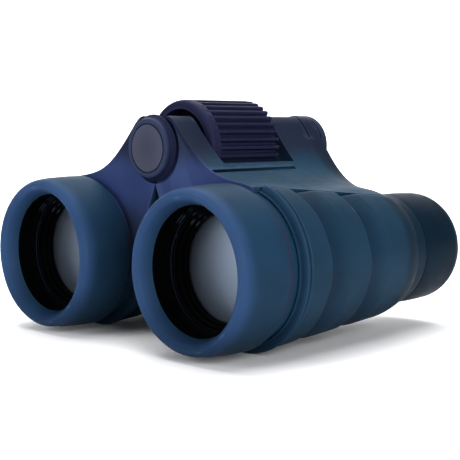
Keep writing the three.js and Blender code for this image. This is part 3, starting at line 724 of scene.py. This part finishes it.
def shell_radius(station):
    """Outside of the plastic shell under the grip."""
    share = max(0.0, grip_share(station))
    past = max(0.0, share - SHOULDER) / (1 - SHOULDER)
    return mix(SHELL_FRONT, SHELL_REAR + SHOULDER_DROP, share) - SHOULDER_DROP * past * past


def grip_radius(station):
    return shell_radius(station) + FIT + GRIP_THICKNESS


def flank_angle(radius):
    """Where a line from under the hinge touches a barrel of this radius, in degrees from the outer side."""
    reach = math.hypot(AXIS_X - 0.15, ARCH_TOP)
    rise = math.degrees(math.atan2(ARCH_TOP, AXIS_X - 0.15))
    return 180 - rise + math.degrees(math.acos(radius / reach))


def grip_top(station):
    return 70.5 - 9 * grip_share(station)


def grip_bottom(station):
    return flank_angle(grip_radius(station) - GRIP_THICKNESS - 0.4) - 358


def on_barrel(sign, radius, angle):
    angle = math.radians(angle)
    return sign * (AXIS_X + radius * math.cos(angle)), radius * math.sin(angle)


def arc(sign, radius, first, last, steps):
    return [on_barrel(sign, radius, mix(first, last, i / steps)) for i in range(steps + 1)]


# %% [markdown]
# The depth of a scoop over the angle and its bend near the upper edge are the two rules that give the sleeve
# its look. A texture could fake them, but the outline of the grip would stay straight. Both are smooth
# curves in the shape itself, so the rubber flows.

# %% The scooped surface
def scoop_depth(angle):
    if angle > 0:
        return 0.10 + 1.20 * smooth(angle / 40)
    return 0.10 + 1.10 * smooth(-angle / 36)


def scoop_fall(angle, station):
    """How far the surface lies under the plain cone."""
    lead = 1.2 * smooth((angle - 34) / 34)
    share = grip_share(station + lead)
    for start, end in SCOOPS:
        if start < share < end:
            u = (share - start) / (end - start)
            return scoop_depth(angle) * smooth(u / 0.12) * (1 - u ** 1.3)
    return 0.0


def grip_section(sign, station, edge, steps=120):
    low, high = grip_bottom(station), grip_top(station)
    outer = []
    for i in range(steps + 1):
        angle = mix(low, high, i / steps)
        rim = min(i, steps - i) / steps * (high - low) / 4
        roll = 0.55 * (1 - math.sqrt(max(0.0, 1 - (1 - min(1.0, rim)) ** 2)))
        radius = grip_radius(station) - scoop_fall(angle, station) - roll - edge
        outer.append(on_barrel(sign, radius, angle))
    return station, outer + arc(sign, shell_radius(station) + 0.1, high, low, 40)


def grip(side, sign):
    rows = 240
    sections = []
    for row in range(rows + 1):
        station = mix(GRIP_FRONT, GRIP_REAR, row / rows)
        depth = min(station - GRIP_FRONT, GRIP_REAR - station)
        edge = 0.6 * (1 - math.sqrt(max(0.0, 1 - (1 - min(1.0, depth / 0.6)) ** 2)))
        sections.append(grip_section(sign, station, edge))
    sleeve = lofted(f"{side}_grip_sleeve", sections, sharp=50)
    return fitted(sleeve, grip_teal, f"{side}_barrel", f"{side}_grip")


for side, sign in SIDES.items():
    print(side, "grip has", len(grip(side, sign).data.polygons), "faces")

# %% [markdown]
# ## The flange ring
# A narrow ring stands proud between the hood and the grip; it is what the binoculars rest on. It stops at
# the saddle like the grip, so it is drawn as an open ring, not as a torus. Its bead rises from a low step
# at the front to a crown behind the middle.

# %% Flange ring
FLANGE_FRONT, FLANGE_REAR = stations("left_flange_ring")
FLANGE_RADIUS = AXIS_Z
# Each pair is a share of the ring's length and how far the surface lies under its crown.
BEAD = [
    (0.0, 1.8), (0.0, 1.72), (0.28, 1.66), (0.32, 1.2), (0.40, 0.66), (0.50, 0.26),
    (0.62, 0.04), (0.72, 0.0), (0.82, 0.12), (0.90, 0.36), (0.95, 0.6), (1.0, 1.0),
]


def flange(side, sign):
    sections = []
    low, high = grip_bottom(GRIP_FRONT), grip_top(GRIP_FRONT)
    for row, (share, drop) in enumerate(BEAD):
        station = mix(FLANGE_FRONT, FLANGE_REAR, share) + (0.02 if row == 1 else 0)
        outer = arc(sign, FLANGE_RADIUS - drop, low, high, 120)
        sections.append((station, outer + arc(sign, SLEEVE_RADIUS + 0.02, high, low, 120)))
    band = lofted(f"{side}_flange_band", sections, sharp=50)
    return fitted(band, hood_blue, f"{side}_barrel", f"{side}_flange_ring")


for side, sign in SIDES.items():
    flange(side, sign)

# %% [markdown]
# ## The housing and its saddle
# Each half is a plastic shell that grows into a bell-shaped web and ends in the hinge knuckles. The bell is
# one smooth curve from the flat top down onto the barrel, so it is a Bezier curve whose ends are tangent to
# the slope and to the barrel. Sections of it are lofted along the length, which lets the slope steepen
# towards the eye as it should.

# %% Bell curve
ARM_FRONT = stations("hinge_cap")[1] + FIT
FRONT_ARM_REAR = ARM_FRONT + 7.4
WHEEL_FRONT, WHEEL_REAR = stations("focus_wheel")
REAR_ARM_FRONT = WHEEL_REAR + 1.8
HOUSING_REAR = GRIP_REAR
KNUCKLE = 8.1
SADDLE_TOP = HINGE_Z + KNUCKLE
TOP_HALF = 5.84
LANDING = 83.0
SEAM = 0.15


def bell(station, steps=28):
    share = (station - ARM_FRONT) / (HOUSING_REAR - ARM_FRONT)
    slope = math.radians(mix(48, 56, share))
    skirt = grip_radius(station) - 0.4
    start = Vector((TOP_HALF + 1.8, SADDLE_TOP - 1.85))
    end = Vector(on_barrel(1, skirt, LANDING))
    reach = (end - start).length
    tilt = math.radians(90 - LANDING)
    first = start + Vector((math.cos(slope), -math.sin(slope))) * reach * 0.52
    second = end - Vector((math.cos(tilt), -math.sin(tilt))) * reach * 0.4
    return cubic(start, first, second, end, steps)


def saddle_section(sign, station):
    skirt = grip_radius(station) - 0.4
    low = skirt - GRIP_THICKNESS
    top = grip_top(station) + 1.2
    flank = flank_angle(low)
    crown_start, corner = Vector((TOP_HALF - 1.2, SADDLE_TOP)), Vector((TOP_HALF, SADDLE_TOP))
    crown = [quadratic(crown_start, corner, bell(station, 1)[0], i / 6) for i in range(7)]
    outline = [(sign * SEAM, SADDLE_TOP)]
    outline += [(sign * p.x, p.y) for p in crown]
    outline += [(sign * p.x, p.y) for p in bell(station)[1:]]
    outline += arc(sign, skirt, LANDING, top, 6)[1:]
    inside = low * 0.6
    outline += [on_barrel(sign, inside, top), on_barrel(sign, inside, flank), on_barrel(sign, low, flank)]
    outline.append((sign * SEAM, ARCH_TOP))
    return station, outline


# %% [markdown]
# The knuckles overlap like fingers: in each arm the left half has the front one and the right half the rear
# one. Where one half has a knuckle the other is cut away round it, with a little more room, so the halves
# can turn. The same cutters make the pocket for the wheel, its sill, and the shallow ring round the cap.

# %% Cutters and knuckles
def rod(radius, front, rear, x=0.0, z=None, facets=96):
    """A plain round tool along Y, on the hinge axis unless told otherwise."""
    z = HINGE_Z if z is None else z
    circle = [2 * math.pi * i / facets for i in range(facets)]
    outline = [(x + radius * math.cos(a), z + radius * math.sin(a)) for a in circle]
    return lofted("tool", [(front, outline), (rear, outline)])


def block(x_pair, station_pair, z_pair):
    (x0, x1), (z0, z1) = x_pair, z_pair
    outline = [(x0, z0), (x1, z0), (x1, z1), (x0, z1)]
    return lofted("tool", [(station_pair[0], outline), (station_pair[1], outline)])


LAP = 0.4
PIN_BORE = 3.08
BUSH_BORE = radius_of("rear_hinge_bush") + RUN
ARMS = [
    (ARM_FRONT, FRONT_ARM_REAR, middle_station("front_hinge_washer"), 0.8, PIN_BORE),
    (REAR_ARM_FRONT, HOUSING_REAR, middle_station("rear_hinge_washer"), 0.35, BUSH_BORE),
]


def knuckle_tools(sign):
    added, removed = [], []
    for front, rear, centre, gap, _ in ARMS:
        own = (front, centre - LAP) if sign > 0 else (centre + LAP, rear)
        other = (centre - LAP, rear + 1) if sign > 0 else (front - 1, centre + LAP)
        added.append(rod(KNUCKLE, *own))
        removed.append(rod(KNUCKLE + gap, *other))
    return added, removed


def pocket_tools(sign):
    sill = HINGE_Z - 3.7
    wheel_room = radius_of("focus_wheel") + 0.75
    return [
        rod(wheel_room, FRONT_ARM_REAR, REAR_ARM_FRONT, facets=144),
        block((-AXIS_X, AXIS_X), (FRONT_ARM_REAR, REAR_ARM_FRONT), (sill, SADDLE_TOP + 5)),
        slot(sign, sill),
    ]


def slot(sign, sill):
    """The long shadow line under the sill; it runs out to nothing at its front end."""
    def outline(depth):
        x0, x1 = sign * (17.7 - depth), sign * (AXIS_X - 2)
        corners = [(x0, sill - 1.95), (x1, sill - 1.95), (x1, sill - 1.25), (x0, sill - 1.25)]
        return corners if sign > 0 else corners[::-1]

    front = ARM_FRONT + 0.6
    rear = REAR_ARM_FRONT - 1.6
    return lofted("tool", [(front, outline(-0.5)), (front + 5, outline(0.8)), (rear, outline(0.9))])


def lap_seam(sign):
    """A fine groove over the rear arm, where the two knuckles meet."""
    station = ARMS[1][2]
    crest = [Vector((TOP_HALF - 2, SADDLE_TOP)), Vector((TOP_HALF - 0.4, SADDLE_TOP - 0.05))]
    crest += [point for point in bell(station) if point.y > HINGE_Z + 2.2]
    outside = [(point.x + 0.8, point.y + 0.8) for point in crest]
    inside = [(point.x - 0.35, point.y - 0.35) for point in crest]
    outline = [(sign * x, z) for x, z in outside + inside[::-1]]
    return lofted("tool", [(station - 0.25, outline), (station + 0.25, outline)])


# %% [markdown]
# Now the halves are built: shell and saddle joined, bored for lens and eyepiece, knuckles added, then all
# the cutting. The edges are broken last, at a quarter of a millimetre, which is what catches the light.

# %% Housing halves
LENS_SEAT = radius_of("left_objective_lens") + FIT
SLEEVE_FRONT = stations("left_housing")[0]
SEAT_END = stations("left_objective_lens")[1] - REAR_RISE + FIT
THROAT = radius_of("left_eyepiece_tube") + RUN


def shell(sign):
    under_grip = [mix(GRIP_FRONT, GRIP_REAR, i / 20) for i in range(21)]
    body = [(shell_radius(station), station, 0) for station in under_grip]
    corners = [(LENS_SEAT - 1, SLEEVE_FRONT, 0), (SLEEVE_RADIUS - FIT, SLEEVE_FRONT, 0.2)]
    corners += [(SLEEVE_RADIUS - FIT, GRIP_FRONT - FIT, 0)] + body
    corners += [(THROAT - 1, GRIP_REAR, 0), (THROAT - 1, SLEEVE_FRONT + 1, 0)]
    return turned("shell", corners, sign * AXIS_X)


def bore(sign):
    def inner(station):
        return max(THROAT, shell_radius(station) - 1.8)

    wide, narrow = GRIP_FRONT, HOUSING_REAR - 11
    corners = [
        (0.001, SLEEVE_FRONT - 1, 0),
        (LENS_SEAT, SLEEVE_FRONT - 1, 0),
        (LENS_SEAT, SEAT_END, 0),
        (LENS_SEAT - 1.6, SEAT_END, 0),
        (LENS_SEAT - 1.6, wide - 1, 0),
        (inner(wide), wide, 0),
        (inner(narrow - 1), narrow - 1, 0),
        (THROAT, narrow, 0),
        (THROAT, HOUSING_REAR + 1, 0),
        (0.001, HOUSING_REAR + 1, 0),
    ]
    return turned("bore", corners, sign * AXIS_X)


def housing(side, sign):
    rows = 26
    loft_stations = [mix(ARM_FRONT, HOUSING_REAR, i / rows) for i in range(rows + 1)]
    half = lofted(f"{side}_housing_shell", [saddle_section(sign, s) for s in loft_stations])
    machined(half, [shell(sign)], "UNION")
    machined(half, [bore(sign)], "DIFFERENCE")
    added, removed = knuckle_tools(sign)
    machined(half, added, "UNION")
    removed += pocket_tools(sign)
    removed += [rod(hole, front - 1, rear + 1) for front, rear, _, _, hole in ARMS]
    removed += [rod(9.0, ARM_FRONT - 1, ARM_FRONT + 0.5), lap_seam(sign)]
    machined(half, removed, "DIFFERENCE")
    broken_edges(half, 0.25)
    return fitted(half, body_violet, f"{side}_barrel", f"{side}_housing")


for side, sign in SIDES.items():
    print(side, "housing has", len(housing(side, sign).data.polygons), "faces")

# %% [markdown]
# ## The focus bridge
# Behind the housings a two-part bridge carries both eyepieces. Each half is a ring round its eyepiece, an
# arm that sweeps up to the hinge line, and half of the round hub. The sweep is drawn once and mirrored, and
# the hub halves overlap front to back, just as the knuckles do.

# %% Bridge arms
BRIDGE_FRONT, BRIDGE_REAR = stations("left_bridge_arm")
HUB = 8.5
BRIDGE_RING = radius_of("left_eyepiece_tube") + FIT + 2.2


def arm_outline(sign, shrink=0.0):
    crown = Vector(on_barrel(1, BRIDGE_RING - 0.3, 106))
    foot = Vector((HUB, HINGE_Z - 3))
    first = Vector((HUB + 1.2, mix(foot.y, crown.y, 0.45)))
    second = Vector((mix(foot.x, crown.x, 0.5), crown.y + 1.4))
    slope = cubic(foot, first, second, crown, 20)
    low = flank_angle(BRIDGE_RING - 0.3)
    inside = radius_of("left_eyepiece_tube")
    outline = [(sign * SEAM, HINGE_Z - shrink), (sign * (HUB - shrink), HINGE_Z - shrink)]
    outline += [(sign * (p.x - shrink * 0.7), p.y - shrink * 0.7) for p in slope]
    outline += [on_barrel(sign, inside, 106), on_barrel(sign, inside, low)]
    outline += [on_barrel(sign, BRIDGE_RING - 0.3 - shrink, low), (sign * SEAM, ARCH_TOP + shrink)]
    return outline


def bridge_half(side, sign):
    x = sign * AXIS_X
    seat = radius_of("left_eyepiece_tube") + FIT
    centre = (BRIDGE_FRONT + BRIDGE_REAR) / 2
    own = (BRIDGE_FRONT, centre - 0.15) if sign > 0 else (centre + 0.15, BRIDGE_REAR)
    other = (centre - 0.15, BRIDGE_REAR + 1) if sign > 0 else (BRIDGE_FRONT - 1, centre + 0.15)
    rows = [(BRIDGE_FRONT, 0.0), (BRIDGE_REAR - 1.1, 0.0)]
    rows += [(BRIDGE_REAR - 1.1 * (1 - math.sin(a)), 1.1 * (1 - math.cos(a))) for a in (0.4, 0.8, 1.2, 1.57)]
    arm = lofted(f"{side}_bridge_half", [(s, arm_outline(sign, shrink)) for s, shrink in rows])
    collar = turned("collar", [
        (seat - 0.2, BRIDGE_FRONT, 0),
        (BRIDGE_RING, BRIDGE_FRONT, 0.3),
        (EYECUP_RADIUS, BRIDGE_REAR, 0.4),
        (seat - 0.2, BRIDGE_REAR, 0),
    ], x)
    machined(arm, [collar, rod(HUB, *own, facets=144)], "UNION")
    nut_hole = radius_of("focus_nut") + RUN
    machined(arm, [
        rod(seat, BRIDGE_FRONT - 1, BRIDGE_REAR + 1, x, 0.0, 144),
        rod(HUB + 0.35, *other, facets=144),
        rod(nut_hole, BRIDGE_FRONT - 1, BRIDGE_REAR + 1),
    ], "DIFFERENCE")
    broken_edges(arm, 0.3)
    return fitted(arm, body_violet, f"{side}_eyepiece", f"{side}_bridge_arm")


for side, sign in SIDES.items():
    print(side, "bridge half has", len(bridge_half(side, sign).data.polygons), "faces")

# %% [markdown]
# ## The hinge cap
# A low button covers the front end of the hinge. Its side flares onto the plates, and a darker disc is set
# into its face with a fine groove round it.

# %% Cap and disc
def cap():
    front, rear = stations("hinge_cap")
    wide = radius_of("hinge_cap")
    slim = wide - 1.14
    disc = radius_of("hinge_cap_disc")
    corners = [
        (0.001, front + 0.6, 0),
        (disc + FIT, front + 0.6, 0.05),
        (disc + FIT, front, 0.12),
        (slim, front, 0.7),
        (slim + 0.3, front + 1.3, 0.8),
        (wide, rear - 0.3, 0.2),
        (wide, rear, 0.1),
        (3.3, rear, 0.1),
        (3.3, rear - 1.3, 0.1),
        (0.001, rear - 1.3, 0),
    ]
    fitted(turned("hinge_cap_button", corners, 0, HINGE_Z), cap_violet, "left_barrel", "hinge_cap")


def cap_disc():
    front, rear = stations("hinge_cap_disc")
    radius = radius_of("hinge_cap_disc")
    corners = [(0.001, front, 0), (radius, front, 0.12), (radius, rear, 0.05), (0.001, rear, 0)]
    fitted(turned("hinge_cap_inlay", corners, 0, HINGE_Z), disc_grey, "left_barrel", "hinge_cap_disc")


cap()
cap_disc()

# %% [markdown]
# ## The focus wheel
# Thirty-six ribs run the length of the wheel, open at the rear, with a smooth rounded rim in front. As many
# separate bars would leave as many seams. Instead the wheel's skin is one grid whose radius rises and falls
# with the angle, and the ribs fade in behind the rim.

# %% Ribbed ring
RIBS = 36
WHEEL_RADIUS = radius_of("focus_wheel")
RING_BORE = WHEEL_RADIUS - 2.4
RIM = 2.8


def rib_height(turn):
    """0 in a groove and 1 on a rib, for a position measured in rib pitches."""
    away = abs((turn + 0.5) % 1.0 - 0.5)
    return 1 - smooth((away - 0.16) / 0.17)


def wheel():
    per_rib = 14
    around = RIBS * per_rib
    profile = [(WHEEL_FRONT, 1.3), (WHEEL_FRONT + 0.12, 0.75), (WHEEL_FRONT + 0.45, 0.35)]
    profile += [(WHEEL_FRONT + 1.0, 0.1), (WHEEL_FRONT + 1.7, 0.0), (WHEEL_FRONT + RIM, 0.0)]
    body = [(WHEEL_FRONT + RIM + step, 0.0) for step in (0.15, 0.3, 0.5, 0.8, 6, 12, 18)]
    tail = [(WHEEL_REAR - 0.5, 0.0), (WHEEL_REAR - 0.15, 0.12), (WHEEL_REAR, 0.4)]
    sections = []
    for station, drop in profile + body + tail:
        groove = 1.15 * smooth((station - WHEEL_FRONT - RIM) / 0.8)
        outline = []
        for i in range(around):
            angle = 2 * math.pi * i / around
            radius = WHEEL_RADIUS - drop - groove * (1 - rib_height(i / per_rib))
            outline.append((radius * math.sin(angle), HINGE_Z + radius * math.cos(angle)))
        sections.append((station, outline))
    blank = lofted("focus_wheel_ribs", sections, sharp=40)
    machined(blank, [rod(RING_BORE, WHEEL_FRONT - 1, WHEEL_REAR + 1, facets=120)], "DIFFERENCE")
    blank.data.shade_smooth()
    blank.data.set_sharp_from_angle(angle=math.radians(40))
    return fitted(blank, wheel_grey, "focus_wheel", "focus_wheel")


print("wheel has", len(wheel().data.polygons), "faces")

# %% [markdown]
# The hub fills the ring and turns on the hinge pin. It is dished, so its two thin webs sit back from the
# ends of the ring and only a dark hollow shows beside the arms.

# %% Hub, shafts and small parts
BOSS = 5.5


def hub():
    front, rear = stations("focus_wheel_hub")
    wide = radius_of("focus_wheel_hub")
    corners = [
        (PIN_BORE, front, 0.1), (BOSS, front, 0.3), (BOSS, front + 0.4, 0.1), (wide, front + 0.4, 0.2),
        (wide, front + 3, 0.2), (BOSS, front + 4, 0.8), (BOSS, rear - 4, 0.8), (wide, rear - 3, 0.2),
        (wide, rear, 0.2), (2.9, rear, 0.1), (2.9, front + 6, 0.1), (PIN_BORE, front + 5, 0.1),
    ]
    fitted(turned("focus_wheel_core", corners, 0, HINGE_Z, 96), inner_black, "focus_wheel", "focus_wheel_hub")


def shaft(name, node_name, body, material, hole=0.001, chamfer=0.3):
    """A turned bar or bush on the hinge axis with chamfered ends."""
    front, rear = stations(node_name)
    outer = radius_of(node_name)
    inner = 0.1 if hole > 1 else 0
    corners = [(hole, front, inner), (outer, front, chamfer), (outer, rear, chamfer), (hole, rear, inner)]
    fitted(turned(name, corners, 0, HINGE_Z, 72), material, body, node_name)


hub()
shaft("hinge_pin_front", "front_hinge_pin", "left_barrel", steel)
shaft("hinge_bush_rear", "rear_hinge_bush", "left_barrel", brass, radius_of("focus_nut") + RUN)
washer_bore = radius_of("rear_hinge_bush") + 0.1
shaft("knuckle_washer_front", "front_hinge_washer", "left_barrel", inner_black, 3.1, 0.1)
shaft("knuckle_washer_rear", "rear_hinge_washer", "left_barrel", inner_black, washer_bore, 0.1)
shaft("focus_nut_sleeve", "focus_nut", "left_eyepiece", brass, radius_of("focus_screw") + RUN)
shaft("bridge_end_cap", "bridge_cap", "left_eyepiece", body_violet, 0.001, 0.8)

# %% [markdown]
# The screw is the one piece that shows how the focus works, even if it is only seen with the wheel off. A
# stack of V-shaped rings reads as a thread and stays a single turned outline.

# %% Focus screw
def screw():
    front, rear = stations("focus_screw")
    radius = radius_of("focus_screw")
    pitch = 1.0
    threaded = rear - 16
    corners = [(0.001, front, 0), (radius, front, 0.2), (radius, threaded, 0.1)]
    turns = int((rear - threaded) / pitch)
    for i in range(turns):
        station = threaded + i * pitch
        corners += [(radius - 0.45, station + 0.4 * pitch, 0), (radius, station + 0.9 * pitch, 0)]
    corners.append((0.001, threaded + turns * pitch, 0))
    fitted(turned("focus_screw_thread", corners, 0, HINGE_Z, 48), steel, "focus_wheel", "focus_screw")


screw()

# %% [markdown]
# ## Floor, light and camera
# A small product is usually shot on a white sweep under big soft lights. A flat plane would do, but it ends
# in a horizon. The floor here is a pale sheet that turns up far behind the object, so none cuts the picture.

# %% Floor
AZIMUTH, ELEVATION = math.radians(45.31), math.radians(5.25)


def sweep():
    """A floor that curves up into a backdrop on the far side from the camera."""
    material, tree, shader = fresh("pale_sweep")
    shader.inputs["Roughness"].default_value = 0.9
    shader.inputs["Specular IOR Level"].default_value = 0.1
    tone = ramp(tree, noise(tree, 6, 2), 0.3, 0.7, (0.93, 0.93, 0.935), (0.95, 0.95, 0.955))
    tree.links.new(tone, shader.inputs["Base Color"])
    away = Vector((-math.sin(AZIMUTH), math.cos(AZIMUTH), 0))
    across = Vector((math.cos(AZIMUTH), math.sin(AZIMUTH), 0))
    profile = [(-1.6, 0.0), (0.5, 0.0)]
    turns = [i * math.pi / 40 for i in range(1, 21)]
    profile += [(0.5 + 0.7 * math.sin(a), 0.7 * (1 - math.cos(a))) for a in turns]
    profile.append((1.2, 2.4))
    points = [away * d + across * w + Vector((0, 0, h)) for d, h in profile for w in (-2.2, 2.2)]
    faces = [(2 * i, 2 * i + 1, 2 * i + 3, 2 * i + 2) for i in range(len(profile) - 1)]
    floor = new_piece("floor", points, faces)
    floor.data.materials.append(material)


sweep()
print("floor laid, backdrop behind it")

# %% [markdown]
# The camera stands at the objectives' side, a little above the barrels. It could come close with a wide
# lens, but then the near ring would swell. A long lens keeps the two rings nearly the same shape.

# %% Camera
CAMERA_PLACE = Vector((0.2151, -0.2150, 0.0542))
camera_data = bpy.data.cameras.new("camera")
camera_data.sensor_width = 36
camera_data.lens = 87.63
camera = bpy.data.objects.new("camera", camera_data)
camera.location = CAMERA_PLACE
backwards = Vector((
    math.sin(AZIMUTH) * math.cos(ELEVATION),
    -math.cos(AZIMUTH) * math.cos(ELEVATION),
    math.sin(ELEVATION),
))
camera.rotation_mode = "QUATERNION"
camera.rotation_quaternion = backwards.to_track_quat("Z", "Y")
scene.collection.objects.link(camera)
scene.camera = camera
print("camera at", [round(v, 3) for v in camera.location])

# %% [markdown]
# Small lamps would draw hard sparks on the plastic. Large soft panels are used instead: one overhead, one at
# each side of the camera, and one that whitens the backdrop. The right panel is stronger than the left, so
# the flanks of the barrels show their shape, and the sky adds only a little.

# %% Lights
BENCH = (0, 0, 0.03)


def softbox(name, place, aim, size, power):
    data = bpy.data.lights.new(name, "AREA")
    data.shape = "RECTANGLE"
    data.size, data.size_y = size
    data.energy = power
    lamp = bpy.data.objects.new(name, data)
    lamp.location = place
    lamp.rotation_mode = "QUATERNION"
    lamp.rotation_quaternion = (Vector(place) - Vector(aim)).to_track_quat("Z", "Y")
    scene.collection.objects.link(lamp)


softbox("overhead", (0.0, 0.1, 0.9), BENCH, (0.9, 0.9), 7.5)
softbox("front_left", (-0.30, -0.85, 0.30), BENCH, (0.45, 0.6), 4.5)
softbox("right_front", (0.85, -0.35, 0.30), BENCH, (0.45, 0.6), 7)
softbox("backdrop_wash", (-0.45, 0.35, 1.2), (-0.85, 0.85, 0.5), (1.2, 0.6), 14)

world = bpy.data.worlds.new("studio")
scene.world = world
world.use_nodes = True
sky = world.node_tree.nodes["Background"]
sky.inputs["Color"].default_value = (1, 1, 1, 1)
sky.inputs["Strength"].default_value = 0.15
scene.view_settings.view_transform = "Standard"
scene.view_settings.look = "Medium High Contrast"
print("lights:", ", ".join(lamp.name for lamp in bpy.data.lights))
